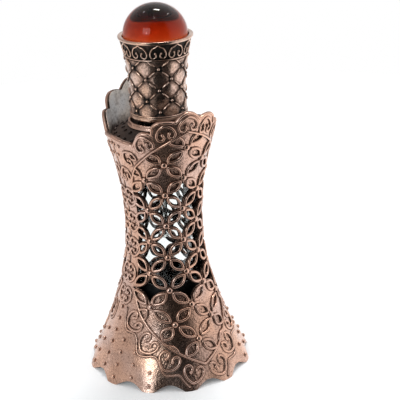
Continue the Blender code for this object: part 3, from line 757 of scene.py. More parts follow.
def turned(outline: Sequence[Flat], steps: int, push: Push | None = None,
           pushed: slice = slice(0)) -> Mesh:
    """Turn an outline about the bottle's axis into one closed mesh.

    Args:
        outline: Radius and height of each point. It starts and ends on the axis, or is a ring.
        steps: Number of steps round the axis.
        push: Gives how far out vertices are moved, from angles in radians and heights.
        pushed: The points that it moves, counted without the one on the axis.

    Returns:
        The mesh, smooth except at sharp corners.
    """
    points = np.array(outline, float)
    on_axis = points[:, 0] < 1e-6
    capped = bool(on_axis[0])
    angles = np.arange(steps) * (FULL_TURN / steps)
    radii, heights = (np.repeat(column[:, None], steps, 1) for column in points[~on_axis].T)
    if push is not None:
        radii[pushed] += push(angles[None, :], heights[pushed])
    places = np.stack([radii * np.sin(angles), -radii * np.cos(angles), heights], -1).reshape(-1, 3)
    rows = len(radii)
    around = [(step, (step + 1) % steps) for step in range(steps)]
    faces: list[tuple[int, ...]] = []
    for row in range(rows - 1 if capped else rows):
        low, high = row * steps, ((row + 1) % rows) * steps
        faces += [(low + step, low + after, high + after, high + step) for step, after in around]
    if capped:
        places = np.vstack([places, [[0.0, 0.0, points[0, 1]], [0.0, 0.0, points[-1, 1]]]])
        first, last, base = rows * steps, rows * steps + 1, (rows - 1) * steps
        for step, after in around:
            faces += [(first, after, step), (last, base + step, base + after)]
    return closed_mesh(places, faces)


def closed_mesh(places: np.ndarray, faces: list[tuple[int, ...]]) -> Mesh:
    """Make a smooth closed mesh whose faces point out.

    Args:
        places: Vertices in millimetres.
        faces: Faces that all turn the same way.

    Returns:
        The mesh, in metres.
    """
    centre = places.mean(0)
    fans = np.array([(face[0], face[step], face[step + 1])
                     for face in faces for step in range(1, len(face) - 1)])
    a, b, c = (places[fans[:, corner]] - centre for corner in range(3))
    if float((a * np.cross(b, c)).sum()) < 0.0:
        faces = [tuple(reversed(face)) for face in faces]
    mesh = bpy.data.meshes.new("form")
    mesh.from_pydata((places * MM).tolist(), [], faces)
    mesh.shade_smooth()
    mesh.set_sharp_from_angle(angle=40 * DEGREE)
    return mesh


def inside(ring: np.ndarray, places: np.ndarray) -> np.ndarray:
    """Say for each place whether a ring goes round it.

    Args:
        ring: Corners of the ring, N by 2.
        places: Places to test, M by 2.

    Returns:
        M answers.
    """
    found = np.zeros(len(places), bool)
    near = np.nonzero(((places >= ring.min(0)) & (places <= ring.max(0))).all(1))[0]
    if not len(near):
        return found
    x, y = (places[near, axis][:, None] for axis in (0, 1))
    x0, y0 = (ring[:, axis][None, :] for axis in (0, 1))
    x1, y1 = (np.roll(ring[:, axis], -1)[None, :] for axis in (0, 1))
    spans = (y0 > y) != (y1 > y)
    rise = np.where(y1 == y0, 1e-9, y1 - y0)
    found[near] = (spans & (x < x0 + (x1 - x0) * (y - y0) / rise)).sum(1) % 2 == 1
    return found


def flowing(points: Sequence[Flat], steps: int) -> np.ndarray:
    """Read a smooth line through points.

    Args:
        points: Points that the line goes through.
        steps: Steps between two points.

    Returns:
        The line, N by 2.
    """
    knots = np.array(points, float)
    chain = np.vstack([2 * knots[0] - knots[1], knots, 2 * knots[-1] - knots[-2]])
    line = []
    for index in range(len(chain) - 3):
        a, b, c, d = chain[index:index + 4]
        for t in np.arange(steps) / steps:
            line.append(0.5 * (2 * b + (c - a) * t + (2 * a - 5 * b + 4 * c - d) * t * t
                               + (3 * b - a - 3 * c + d) * t ** 3))
    return np.array(line + [knots[-1]])


def mirrored(line: np.ndarray, side: int = -1) -> np.ndarray:
    """Return a line of angles and heights on the other side of the front, or on its own for 1."""
    return line * np.array([side, 1.0])


@dataclass(frozen=True)
class Surface:
    """A turned surface that ornament is laid on, read smoothly through a few knots."""

    knots: tuple[Flat, ...]
    flutes: int = 0
    flute_depth: float = 0.0
    flute_height: float = 1.0

    def plain_radius(self, height: Number) -> Number:
        """Read the radius without the flutes.

        Args:
            height: Heights.

        Returns:
            The radius at each height.
        """
        z, r = np.array(self.knots, float).T
        slope = np.concatenate([[(r[1] - r[0]) / (z[1] - z[0])], (r[2:] - r[:-2]) / (z[2:] - z[:-2]),
                                [(r[-1] - r[-2]) / (z[-1] - z[-2])]])
        spot = np.clip(np.searchsorted(z, height, "right") - 1, 0, len(z) - 2)
        span = z[spot + 1] - z[spot]
        t = (height - z[spot]) / span
        return (((2 * t - 3) * t * t + 1) * r[spot] + ((t - 2) * t + 1) * t * span * slope[spot]
                + (3 - 2 * t) * t * t * r[spot + 1] + (t - 1) * t * t * span * slope[spot + 1])

    def slope(self, height: np.ndarray) -> np.ndarray:
        """Return how fast the radius grows with the height."""
        return (self.plain_radius(height + 0.05) - self.plain_radius(height - 0.05)) / 0.1

    def radius(self, angle: np.ndarray, height: np.ndarray) -> np.ndarray:
        """Return the radius at angles in degrees and heights, with the flutes."""
        fade = np.clip(1.0 - height / self.flute_height, 0.0, 1.0) ** 2
        return self.plain_radius(height) - self.flute_depth * fade * np.cos(self.flutes * angle * DEGREE)

    def place(self, spots: np.ndarray, rise: Number = 0.0) -> tuple[np.ndarray, np.ndarray]:
        """Give places on the surface and the directions that it faces there.

        Args:
            spots: Angles from the front in degrees and heights, N by 2.
            rise: How far off the surface the places lie.

        Returns:
            The places in millimetres and the unit normals, both N by 3.
        """
        angle, height = spots.T
        slope = self.slope(height)
        out = 1.0 / np.sqrt(1.0 + slope ** 2)
        up = -slope * out
        radius = self.radius(angle, height) + rise * out
        sin, cos = np.sin(angle * DEGREE), np.cos(angle * DEGREE)
        places = np.stack([radius * sin, -radius * cos, height + rise * up], -1)
        return places, np.stack([out * sin, -out * cos, up], -1)

    def spread(self, centre: Flat, turn: float, shape: np.ndarray) -> np.ndarray:
        """Lay a flat shape on the surface.

        Args:
            centre: Angle and height of the shape's middle.
            turn: Degrees that the shape is turned, anticlockwise as seen from outside.
            shape: Points of the shape in millimetres, N by 2.

        Returns:
            Angle and height of each point, N by 2.
        """
        cos, sin = math.cos(turn * DEGREE), math.sin(turn * DEGREE)
        across = shape[:, 0] * cos - shape[:, 1] * sin
        along = shape[:, 0] * sin + shape[:, 1] * cos
        slope = (self.plain_radius(centre[1] + 0.1) - self.plain_radius(centre[1])) / 0.1
        height = centre[1] + along / math.hypot(1.0, slope)
        return np.stack([centre[0] + across / (self.plain_radius(height) * DEGREE), height], -1)


class Ornament:
    """Raised cords and studs that are laid on one surface and grown together."""

    def __init__(self, surface: Surface) -> None:
        """Start with nothing on a surface."""
        self.surface = surface
        self.lines: list[tuple[np.ndarray, bool, float]] = []
        self.studs: list[tuple[Flat, tuple[float, float, float], float]] = []

    def cord(self, line: np.ndarray, closed: bool = False, rise: float = 0.0) -> None:
        """Add a cord along angles and heights."""
        self.lines.append((line, closed, rise))

    def stud(self, centre: Flat, size: tuple[float, float, float], turn: float = 0.0) -> None:
        """Add a stud of three half sizes, turned on the surface by degrees."""
        self.studs.append((tuple(centre), size, turn))

    def markers(self) -> np.ndarray:
        """Say where the ornament lies.

        Returns:
            Places in millimetres along all cords and at all studs, N by 3.
        """
        spots = [line for line, _, _ in self.lines]
        if self.studs:
            spots.append(np.array([centre for centre, _, _ in self.studs]))
        return np.vstack([self.surface.place(part)[0] for part in spots])

    def cord_mesh(self, name: str, shop: Workshop, coat: Coat, size: tuple[float, float, int],
                  side: np.ndarray = FRONT) -> Mesh:
        """Grow all cords.

        Args:
            name: Name of the result.
            shop: Finishes and trees.
            coat: Finish of the cords.
            size: Half width and height of a cord, and the number of its section's sides.
            side: Signs that take a place to this side of the bottle.

        Returns:
            A plain mesh.
        """
        laid, edges, start = [], [], 0
        for line, closed, rise in self.lines:
            laid.append(self.surface.place(line, rise))
            count = len(line)
            edges += [(start + index, start + (index + 1) % count)
                      for index in range(count if closed else count - 1)]
            start += count
        places, facing = (np.vstack(parts) * side for parts in zip(*laid))
        seed = bpy.data.meshes.new(name)
        seed.from_pydata((places * MM).tolist(), edges, [])
        mark(seed, "facing", facing)
        return shaped(seed, "NODES", {"node_group": shop.cords}, {
            "Half width": size[0] * MM, "Height": size[1] * MM, "Sides": size[2], "Finish": shop[coat]})

    def stud_mesh(self, name: str, shop: Workshop, coat: Coat, grid: tuple[int, int],
                  side: np.ndarray = FRONT) -> Mesh:
        """Grow all studs.

        Args:
            name: Name of the result.
            shop: Finishes and trees.
            coat: Finish of the studs.
            grid: Steps round a stud, and from its foot to its foot over the top.
            side: Signs that take a place to this side of the bottle.

        Returns:
            A plain mesh.
        """
        centres, sizes, turns = (np.array(column) for column in zip(*self.studs))
        places, facing = self.surface.place(centres)
        angle, turns = centres[:, 0] * DEGREE, turns[:, None] * DEGREE
        across = np.stack([np.cos(angle), np.sin(angle), np.zeros(len(angle))], -1)
        along = across * np.cos(turns) + np.cross(facing, across) * np.sin(turns)
        seed = bpy.data.meshes.new(name)
        seed.from_pydata((places * side * MM).tolist(), [], [])
        for label, values in (("facing", facing * side), ("along", along * side), ("size", sizes * MM)):
            mark(seed, label, values)
        return shaped(seed, "NODES", {"node_group": shop.studs},
                      {"Segments": grid[0], "Rings": grid[1], "Finish": shop[coat]})


def heart_line(width: float, height: float, point: float = 0.06) -> np.ndarray:
    """Draw the centre line of a heart whose lobes curl inwards, with its point at the top.

    Args:
        width: Width over the lobes.
        height: Height from the point to the lobes.
        point: How sharp the point is, as a share of the height.

    Returns:
        The line from one curl over the point to the other, N by 2.
    """
    half = [(0.0, 0.5), (0.15, 0.5 - point), (0.34, 0.27), (0.46, 0.04), (0.5, -0.19), (0.44, -0.41),
            (0.31, -0.5), (0.17, -0.43), (0.12, -0.26), (0.18, -0.1)]
    return flowing([(-x, y) for x, y in half[:0:-1]] + half, 5) * np.array([width, height])


# ---- the case ----


@dataclass
class OpenworkCase:
    """Two cast halves with a pierced flower lattice, hearts round it and studs at the sides."""

    wall: float = 1.4
    mesh_step: float = 0.43
    mesh_clear: float = 0.2
    foot_count: int = 12
    foot_half_angle: float = 4.0
    arch_rise: float = 2.3
    waist_height: float = 57.0
    lip_height: float = 93.0
    lip_rise: float = 1.3
    columns: int = 14
    half_row: float = 6.225
    middle_node: float = 54.0
    # Height where the columns start to draw in, over what height, and by what share.
    drawn_in: tuple[float, float, float] = (35.0, 12.0, 0.14)
    border_angle: float = 71.5
    open_half_rows: int = 3
    # Half length and half width in lattice steps, and points along each side.
    petal: tuple[float, float, int] = (0.465, 0.244, 14)
    pierced: tuple[float, float, int] = (0.38, 0.163, 9)
    # Half sizes along, across and up.
    boss: tuple[float, float, float] = (1.25, 1.25, 0.85)
    curl_stud: tuple[float, float, float] = (0.68, 0.68, 0.58)
    skirt_stud: tuple[float, float, float] = (0.85, 0.85, 0.85)
    collar_stud: tuple[float, float, float] = (0.7, 0.7, 0.55)
    # Gap at the seam below and above its blend, and the heights of the blend.
    seam_gaps: Flat = (0.005, 0.15)
    seam_blend: Flat = (38.0, 43.0)
    seam_groove: float = 0.35
    # Name, height of the collar's peak above the lip, and signs of each half.
    sides: tuple[tuple[str, float, np.ndarray], ...] = (("front", 11.8, FRONT), ("back", 15.0, BACK))
    # Kind, half width, height and number of the section's sides.
    cord_sizes: tuple[tuple[str, float, float, int], ...] = (
        ("petals", 0.52, 0.5, 10), ("frame", 0.44, 0.5, 10), ("scrolls", 0.5, 0.42, 10),
        ("edges", 0.34, 0.3, 8), ("rims", 0.58, 0.9, 12))
    surface: Surface = Surface(
        ((0.0, 31.1), (5.985, 28.33), (14.02, 24.48), (22.0, 21.2), (31.98, 17.96), (44.0, 15.27),
         (57.0, 14.3), (67.99, 14.76), (79.99, 16.52), (89.98, 19.18), (98.01, 21.05), (104.8, 21.8),
         (108.15, 22.03)), 12, 0.45, 16.0)
    # Angle from the front, and share of the peak's height.
    collar: tuple[Flat, ...] = (
        (0.0, 1.0), (5.0, 0.97), (9.5, 0.87), (13.5, 0.755), (18.5, 0.775), (24.0, 0.79), (30.0, 0.775),
        (34.5, 0.7), (36.5, 0.6), (37.2, 0.42), (42.0, 0.43), (47.0, 0.435), (51.0, 0.36), (54.5, 0.19),
        (58.5, 0.0))
    # Angle and height, on the left from the top to the foot.
    panel: tuple[Flat, ...] = (
        (0.0, 97.6), (-7.7, 96.6), (-17.8, 95.0), (-28.0, 92.9), (-38.9, 90.5), (-45.0, 88.8),
        (-51.8, 86.8), (-60.0, 84.3), (-66.9, 80.7), (-71.0, 77.0), (-73.6, 72.8), (-72.6, 66.0),
        (-72.4, 54.0), (-73.0, 44.0), (-75.5, 35.6), (-71.9, 33.0), (-67.4, 30.3), (-60.0, 25.8),
        (-50.0, 21.9), (-40.0, 18.5), (-30.0, 15.3), (-20.0, 12.6), (-10.0, 10.1), (0.0, 7.6))
    panel_step: float = 1.5
    frame_gap: Flat = (35.0, 73.4)
    # Angle and height, on the left from the side to the front.
    band: tuple[Flat, ...] = (
        (-79.5, 26.5), (-78.7, 22.1), (-74.4, 19.2), (-62.2, 18.3), (-58.2, 12.7), (-52.0, 11.7),
        (-41.8, 12.0), (-37.7, 9.8), (-35.7, 7.5), (-32.2, 5.7), (-22.7, 5.6), (-19.0, 3.3), (-15.5, 1.2))
    # Angle, height, turn, width and height of each heart on the left.
    hearts: tuple[tuple[float, float, float, float, float], ...] = (
        (-11.2, 5.2, 163.0, 7.6, 6.2), (-30.3, 10.1, 150.0, 7.8, 6.6), (-49.3, 15.8, 136.0, 7.8, 6.8),
        (-67.5, 22.6, 125.0, 7.8, 6.2), (-83.4, 30.8, -104.0, 6.4, 4.0), (-82.2, 39.8, -90.0, 6.8, 4.2),
        (-78.6, 50.3, -90.0, 7.2, 5.2), (-78.6, 60.4, -90.0, 7.4, 5.2), (-78.8, 70.3, -90.0, 7.0, 5.2),
        (-80.2, 80.2, 14.0, 5.2, 5.2), (-67.6, 87.6, 48.0, 5.8, 5.2), (-46.3, 94.0, 24.0, 6.8, 5.8),
        (-23.4, 98.2, 12.0, 6.8, 5.4))
    # Place above the peak, width and height.
    top_heart: tuple[float, float, float] = (-4.2, 7.6, 5.4)
    # Angle of each column and height of its first stud.
    stud_columns: tuple[Flat, ...] = ((90.0, 4.1), (75.0, 2.2), (60.0, 3.7), (45.0, 2.1))
    stud_rise: float = 4.4
    stud_room: float = 1.1
    stud_limit: float = 29.0
    collar_studs: tuple[Flat, ...] = ((-87.3, 91.5), (-79.4, 91.3), (-84.5, 87.6))
    cell_bulge: float = 0.325
    ground_grain: float = 0.35
    # Depth and grain of the sunk fields.
    panel_ground: Flat = (0.2, 0.5)
    petal_ground: Flat = (0.2, 0.9)
    scroll_ground: Flat = (0.25, 0.8)
    # Distance from the relief where the dark ground ends, and how far it takes to fade; the dark is partly
    # patina and partly painted shade.
    patina_and_shade_span: Flat = (0.42, 0.45)
    dark_relief: float = 0.05
    # Width of the seam, and how much painted shadow darkens its groove.
    seam_width: float = 0.7
    seam_shadow: float = 0.9
    inner_grain: float = 0.2
    # How far below the lip the painted shade on the inner side starts to clear, and over what height.
    inner_shade: Flat = (7.0, 10.0)

    def lattice(self, column: Number, half_rows: Number) -> np.ndarray:
        """Place points of the lattice, whose columns draw in at the skirt.

        Args:
            column: Columns from the front.
            half_rows: Half rows from the middle node.

        Returns:
            Angle and height of each point.
        """
        height = self.middle_node + half_rows * self.half_row
        start, fall, share = self.drawn_in
        low = np.clip((start - height) / fall, 0.0, 1.6)
        return np.stack([column * (360.0 / self.columns) * (1.0 - share * low ** 1.7), height], -1)

    def lens(self, column: float, half_rows: float, rise: int,
             shape: tuple[float, float, int]) -> np.ndarray:
        """Draw a lens-shaped outline along one edge of the lattice.

        Args:
            column: Column of the edge's middle.
            half_rows: Half row of the edge's middle.
            rise: 1 where the edge climbs to the right and -1 where it falls.
            shape: Half length and half width in lattice steps, and the points along each side.

        Returns:
            Angle and height of the outline, N by 2.
        """
        length, width, count = shape
        share = np.linspace(-1.0, 1.0, count + 1)[:-1]
        along = np.concatenate([share, -share]) * length / math.sqrt(2)
        across = np.concatenate([1 - share ** 2, share ** 2 - 1]) * width / math.sqrt(2)
        return self.lattice(column + along - rise * across, half_rows + rise * along + across)

    def cell(self, column: int, half_rows: int) -> np.ndarray:
        """Draw the opening between four petals.

        Args:
            column: Column of its middle.
            half_rows: Half row of its middle.

        Returns:
            Angle and height of the outline, N by 2.
        """
        share = np.linspace(-0.8, 0.8, 11)[::-1]
        along, bulge = share / 2, self.cell_bulge * (1 - share ** 2) / math.sqrt(2)
        x, y = 0.5 + along - bulge, 0.5 - along - bulge
        ring = np.hstack([(x, y), (-y, x), (-x, -y), (y, -x)])
        return self.lattice(column + ring[0], half_rows + ring[1])

    def clipped_cell(self, side: int, half_rows: int) -> np.ndarray:
        """Draw the part of a border opening that lies inside the lattice's border.

        Args:
            side: 1 for the right and -1 for the left.
            half_rows: Half row of its middle.

        Returns:
            Angle and height of the outline, N by 2.
        """
        ring = self.cell(3 * side, half_rows)
        kept = ring[np.abs(ring[:, 0]) < self.border_angle]
        kept = kept[np.argsort(kept[:, 1])]
        return np.vstack([kept, [(side * self.border_angle, kept[end, 1]) for end in (-1, 0)]])

    def edges(self) -> list[tuple[float, float, int, bool]]:
        """Return the middle of each lattice edge, which way it climbs and whether it is pierced."""
        reach = self.open_half_rows
        return [(column + 0.5, half_rows + 0.5, -1 if (column + half_rows) % 2 else 1,
                 -reach <= half_rows < reach) for column in range(-3, 3) for half_rows in range(-7, 7)]

    def openings(self) -> list[np.ndarray]:
        """Draw every opening of one half.

        Returns:
            Their outlines.
        """
        reach = self.open_half_rows
        rings = [self.cell(column, half_rows) for column in range(-2, 3)
                 for half_rows in range(-reach, reach + 1) if (column + half_rows) % 2]
        rings += [self.clipped_cell(side, half_rows) for side in (-1, 1)
                  for half_rows in range(1 - reach, reach) if half_rows % 2 == 0]
        return rings + [self.lens(*edge, self.pierced) for *edge, pierced in self.edges() if pierced]

    def panel_side(self) -> np.ndarray:
        """Return the left side of the panel's border, from its top to its foot."""
        return np.array(refine(self.panel, self.panel_step))

    def panel_ring(self) -> np.ndarray:
        """Return the whole border of the panel as a ring."""
        left = self.panel_side()
        return np.vstack([left, mirrored(left[-2:0:-1])])

    def collar_line(self, peak: float) -> np.ndarray:
        """Draw the collar's edge.

        Args:
            peak: Height of its peak above the lip.

        Returns:
            Angles and heights from the left seam to the right one.
        """
        half = [(angle, self.lip_height + share * peak) for angle, share in self.collar]
        edge, steps = half[-1][0], 8
        half += [(edge + (SEAM - edge) * step / steps, self.lip_height + self.lip_rise * step / steps)
                 for step in range(1, steps + 1)]
        return flowing([(-angle, height) for angle, height in half[:0:-1]] + half, 6)

    def hem_line(self) -> np.ndarray:
        """Draw the arched hem.

        Returns:
            Angles and heights from the left seam to the right one.
        """
        angles = np.linspace(-SEAM, SEAM, 361)
        half_pitch = 180.0 / self.foot_count
        off = np.abs(angles % (2 * half_pitch) - half_pitch)
        share = np.clip((off - self.foot_half_angle) / (half_pitch - self.foot_half_angle), 0.0, 1.0)
        return np.stack([angles, self.arch_rise * np.sin(share * math.pi / 2)], -1)

    def lay_lattice(self, kinds: dict[str, Ornament]) -> None:
        """Lay the petals, the bosses at their nodes and the frame round them.

        Args:
            kinds: Ornament by kind.
        """
        panel, left = self.panel_ring(), self.panel_side()
        for column, half_rows, climb, _ in self.edges():
            ring = self.lens(column, half_rows, climb, self.petal)
            held = inside(panel, ring)
            if held.all():
                kinds["petals"].cord(ring, True)
            elif held.sum() > 4:
                start = int(np.argmin(held))
                ring, held = np.roll(ring, -start, 0), np.roll(held, -start)
                for run in np.split(np.arange(len(ring)), np.nonzero(np.diff(held.astype(int)))[0] + 1):
                    if held[run[0]] and len(run) > 2:
                        kinds["petals"].cord(ring[run])
        nodes = [self.lattice(column, half_rows) for column in range(-3, 4)
                 for half_rows in range(-6, 8) if (column + half_rows) % 2 == 0]
        for spot in nodes:
            if inside(panel, spot[None])[0]:
                kinds["bosses"].stud(spot, self.boss)
        upper, lower = left[left[:, 1] > self.frame_gap[1]], left[left[:, 1] < self.frame_gap[0]]
        kinds["frame"].cord(np.vstack([mirrored(upper)[::-1], upper[1:]]))
        kinds["frame"].cord(np.vstack([lower[:-1], mirrored(lower)[::-1]]))

    def lay_border(self, kinds: dict[str, Ornament], peak: float) -> None:
        """Lay the hearts, the bands, the rim of the collar and the studs.

        Args:
            kinds: Ornament by kind.
            peak: Height of the collar's peak above the lip.
        """
        for angle, height, turn, broad, tall in self.hearts:
            line = self.surface.spread((angle, height), turn, heart_line(broad, tall))
            for side in (1, -1):
                kinds["scrolls"].cord(mirrored(line, side))
                for end in (0, -1):
                    kinds["studs"].stud(mirrored(line, side)[end], self.curl_stud)
        drop, broad, tall = self.top_heart
        spot = (0.0, self.lip_height + peak + drop)
        kinds["scrolls"].cord(self.surface.spread(spot, 0.0, heart_line(broad, tall)))
        for side in (1, -1):
            kinds["edges"].cord(mirrored(flowing(self.band, 4), side))
        kinds["rims"].cord(self.collar_line(peak) - np.array([0.0, 0.35]), rise=-0.5)
        angles, heights = np.array(self.band[::-1]).T
        for column, first in self.stud_columns:
            limit = np.interp(column, -angles, heights) if column < -angles[-1] else self.stud_limit
            for height in first + self.stud_rise * np.arange(7):
                if height < limit - self.stud_room:
                    for side in (-1, 1) if column < SEAM else (-1,):
                        kinds["studs"].stud((side * column, height), self.skirt_stud)
        for angle, height in self.collar_studs:
            for side in (1, -1):
                kinds["studs"].stud((side * angle, height), self.collar_stud)

    def ornament(self, peak: float) -> dict[str, Ornament]:
        """Lay out the relief of one half.

        Args:
            peak: Height of the collar's peak above the lip.

        Returns:
            The ornament by kind.
        """
        names = ("petals", "frame", "scrolls", "edges", "rims", "studs", "bosses")
        kinds = {name: Ornament(self.surface) for name in names}
        self.lay_lattice(kinds)
        self.lay_border(kinds, peak)
        return kinds

    def pierced_sheet(self, peak: float) -> tuple[np.ndarray, np.ndarray]:
        """Cut the flat wall of one half into even triangles, with its openings left out.

        Args:
            peak: Height of the collar's peak above the lip.

        Returns:
            Angle and height of each vertex, and the triangles.
        """
        hem, collar = self.hem_line(), self.collar_line(peak)
        heights = np.linspace(hem[0, 1], collar[0, 1], 180)[1:-1]
        right = np.stack([np.full(len(heights), SEAM), heights], -1)
        border = np.vstack([hem, right, collar[::-1], mirrored(right[::-1])])
        scale = np.array([self.surface.plain_radius(self.waist_height) * DEGREE, 1.0])
        rings = [ring * scale for ring in [border] + self.openings()]
        grid = []
        for row, height in enumerate(np.arange(self.mesh_step, self.lip_height + peak, self.mesh_step)):
            step = self.mesh_step / (self.surface.plain_radius(height) * DEGREE)
            angles = np.arange(-SEAM + step * (0.5 + 0.5 * (row % 2)), SEAM, step)
            grid.append(np.stack([angles, np.full(len(angles), height)], -1) * scale)
        loose = np.vstack(grid)
        loose = loose[inside(rings[0], loose)]
        for ring in rings[1:]:
            loose = loose[~inside(ring, loose)]
        upright = ((0, 0), (0, 1))
        away = distances(np.pad(np.vstack(rings), upright), np.pad(loose, upright))
        edges, start = [], 0
        for ring in rings:
            edges += [(start + index, start + (index + 1) % len(ring)) for index in range(len(ring))]
            start += len(ring)
        flat = [Vector(spot) for spot in np.vstack(rings + [loose[away > self.mesh_clear]])]
        cut = delaunay_2d_cdt(flat, edges, [], 1, 0.001)
        spots = np.array([place[:] for place in cut[0]])
        faces = np.array([face for face in cut[2] if len(face) == 3])
        middles = spots[faces].mean(1)
        for ring in rings[1:]:
            kept = ~inside(ring, middles)
            faces, middles = faces[kept], middles[kept]
        return spots / scale, faces

    def shell(self, peak: float, kinds: dict[str, Ornament], side: np.ndarray) -> Mesh:
        """Bend the flat wall into its form, sink its fields, darken the ground beside its relief with patina
        and painted shade, and paint shadow into the seam.

        Args:
            peak: Height of the collar's peak above the lip.
            kinds: Ornament that lies on the wall.
            side: Signs that take a place to this side of the bottle.

        Returns:
            The outer side of the wall.
        """
        spots, faces = self.pierced_sheet(peak)
        angle, height = spots.T
        rise, grain = np.zeros(len(spots)), np.full(len(spots), self.ground_grain)
        field_part = inside(self.panel_ring(), spots)
        sunk = [(field_part, *self.panel_ground)]
        sunk += [(inside(self.lens(*edge, self.petal), spots) & field_part, *self.petal_ground)
                 for *edge, pierced in self.edges() if not pierced]
        sunk += [(inside(line, spots), *self.scroll_ground) for line, _, _ in kinds["scrolls"].lines]
        for held, depth, sand in sunk:
            rise[held] -= depth
            grain[held] = sand
        # Patina with painted shade: the ground darkens close to the cords and studs.
        marks = np.vstack([ornament.markers() for name, ornament in kinds.items() if name != "rims"])
        away = distances(marks, self.surface.place(spots)[0])
        clear = np.clip((away - self.patina_and_shade_span[0]) / self.patina_and_shade_span[1], 0.0, 1.0)
        relief = self.dark_relief + (1 - self.dark_relief) * clear * clear * (3 - 2 * clear) - 0.1 * grain
        low, high = self.seam_blend
        upper = np.clip((height - low) / (high - low), 0.0, 1.0)
        seam = (SEAM - np.abs(angle)) * self.surface.plain_radius(height) * DEGREE
        seam = np.clip(1.0 - seam / self.seam_width, 0.0, 1.0) * upper
        places, _ = self.surface.place(spots, rise - self.seam_groove * seam)
        tight, wide = self.seam_gaps
        places[:, 1] = np.minimum(places[:, 1], -tight - (wide - tight) * upper)
        a, b, c = places[faces[0]]
        if np.dot(np.cross(b - a, c - a), a * np.array([1.0, 1.0, 0.0])) < 0:
            faces = faces[:, ::-1]
        mesh = bpy.data.meshes.new("wall")
        mesh.from_pydata((places * side * MM).tolist(), [], faces.tolist())
        # Painted shadow darkens the seam groove.
        mark(mesh, "relief", relief - self.seam_shadow * seam)
        mark(mesh, "grain", grain)
        mesh.shade_smooth()
        return mesh

    def thicken(self, mesh: Mesh, shop: Workshop) -> Mesh:
        """Give a wall its thickness, with a dull grey inner side that painted shade darkens towards the
        bottom.

        Args:
            mesh: Outer side of the wall.
            shop: Finishes.

        Returns:
            The closed wall.
        """
        for coat in (Coat.COPPER, Coat.INNER):
            mesh.materials.append(shop[coat])
        made = shaped(mesh, "SOLIDIFY", {"thickness": self.wall * MM, "offset": -1.0, "material_offset": 1})
        places = vertex_places(made)
        places[:, 2] = np.maximum(places[:, 2], 0.0)
        inner = np.unique([corner for face in made.polygons if face.material_index
                           for corner in face.vertices])
        x, y, height = places[inner, 0], places[inner, 1], places[inner, 2] / MM
        radius = self.surface.radius(np.arctan2(x, -y) / DEGREE, height)
        radius = radius - self.wall * np.hypot(1.0, self.surface.slope(height))
        places[inner, :2] *= (radius * MM / np.hypot(x, y))[:, None]
        made.vertices.foreach_set("co", places.ravel())
        relief, grain = marked(made, "relief"), marked(made, "grain")
        # Painted shade: the inner side is dark low down and clears towards the lip.
        below, span = self.inner_shade
        share = np.clip((height - self.lip_height + below) / span, 0.0, 1.0)
        relief[inner] = self.dark_relief + (1 - self.dark_relief) * share
        grain[inner] = self.inner_grain
        mark(made, "relief", relief)
        mark(made, "grain", grain)
        made.shade_smooth()
        made.set_sharp_from_angle(angle=50 * DEGREE)
        return made

    def build(self, shop: Workshop) -> None:
        """Make both halves and ride them on the housing.

        Args:
            shop: Finishes and trees.
        """
        place = (Body.HOUSING, Slot.COPPER)
        for name, peak, side in self.sides:
            kinds = self.ornament(peak)
            add_piece(f"{name}_wall", self.thicken(self.shell(peak, kinds, side), shop), *place,
                      (f"{name}_case",))
            for kind, *size in self.cord_sizes:
                made = kinds[kind].cord_mesh(kind, shop, Coat.COPPER, size, side)
                add_piece(f"{name}_{kind}", made, *place)
            for kind in ("studs", "bosses"):
                made = kinds[kind].stud_mesh(kind, shop, Coat.COPPER, (14, 8), side)
                add_piece(f"{name}_{kind}", made, *place)


# ---- inside the case ----


@dataclass
class Shoulder:
    """Studded dish between the case and the neck, with the ring that the cap stands over."""

    hole: float = 7.8
    shelf: float = 11.9
    top: float = 95.5
    rim: float = 92.5
    rim_radius: float = 17.85
    thickness: float = 1.0
    steps: int = 160
    dish_relief: float = 0.4
    ring_relief: float = 0.85
    ring_radius: float = 11.4
    ring_wall: float = 0.8
    ring_top: float = 97.6
    # Gap under the ring, and the height and reach of its foot.
    ring_foot: tuple[float, float, float] = (0.3, 0.7, 0.5)
    # Radius, number and first angle of each ring of beads, and the half sizes of one.
    beads: tuple[tuple[float, int, float], ...] = ((13.3, 22, 0.0), (16.4, 25, 6.0))
    bead: tuple[float, float, float] = (0.8, 0.8, 0.6)

    def build(self, shop: Workshop) -> None:
        """Make the dish, its studs and the neck ring.

        Args:
            shop: Finishes and trees.
        """
        low = self.thickness
        dish = turned(soften([(self.hole, self.top), (self.shelf, self.top), (self.rim_radius, self.rim),
                              (self.rim_radius, self.rim - low), (self.shelf, self.top - low),
                              (self.hole, self.top - low)], 0.3, 3, True), self.steps)
        self.shade(dish, self.dish_relief)
        add_piece("studded_dish", dish, Body.HOUSING, Slot.PEWTER, ("shoulder_dish",), [shop[Coat.DISH]])
        beads = Ornament(Surface(((self.rim, self.rim_radius), (self.top, self.shelf))))
        fall = (self.top - self.rim) / (self.rim_radius - self.shelf)
        for radius, count, first in self.beads:
            for index in range(count):
                height = self.top - fall * (radius - self.shelf)
                beads.stud((first + 360.0 * index / count, height), self.bead)
        add_piece("dish_studs", beads.stud_mesh("dish_studs", shop, Coat.BEADS, (12, 7)),
                  Body.HOUSING, Slot.PEWTER)
        gap, foot_height, foot_reach = self.ring_foot
        inner, outer, foot = self.ring_radius - self.ring_wall, self.ring_radius, self.top + gap
        ring = turned(soften([(inner, self.ring_top), (outer, self.ring_top), (outer, foot + foot_height),
                              (outer + foot_reach, foot), (inner, foot)], 0.4, 5, True), self.steps)
        self.shade(ring, self.ring_relief)
        add_piece("copper_neck_ring", ring, Body.HOUSING, Slot.COPPER, ("neck_ring",), [shop[Coat.COPPER]])

    @staticmethod
    def shade(mesh: Mesh, relief: float, grain: float = 0.25) -> None:
        """Give a plain piece one level of relief and grain."""
        mark(mesh, "relief", np.full(len(mesh.vertices), relief))
        mark(mesh, "grain", np.full(len(mesh.vertices), grain))


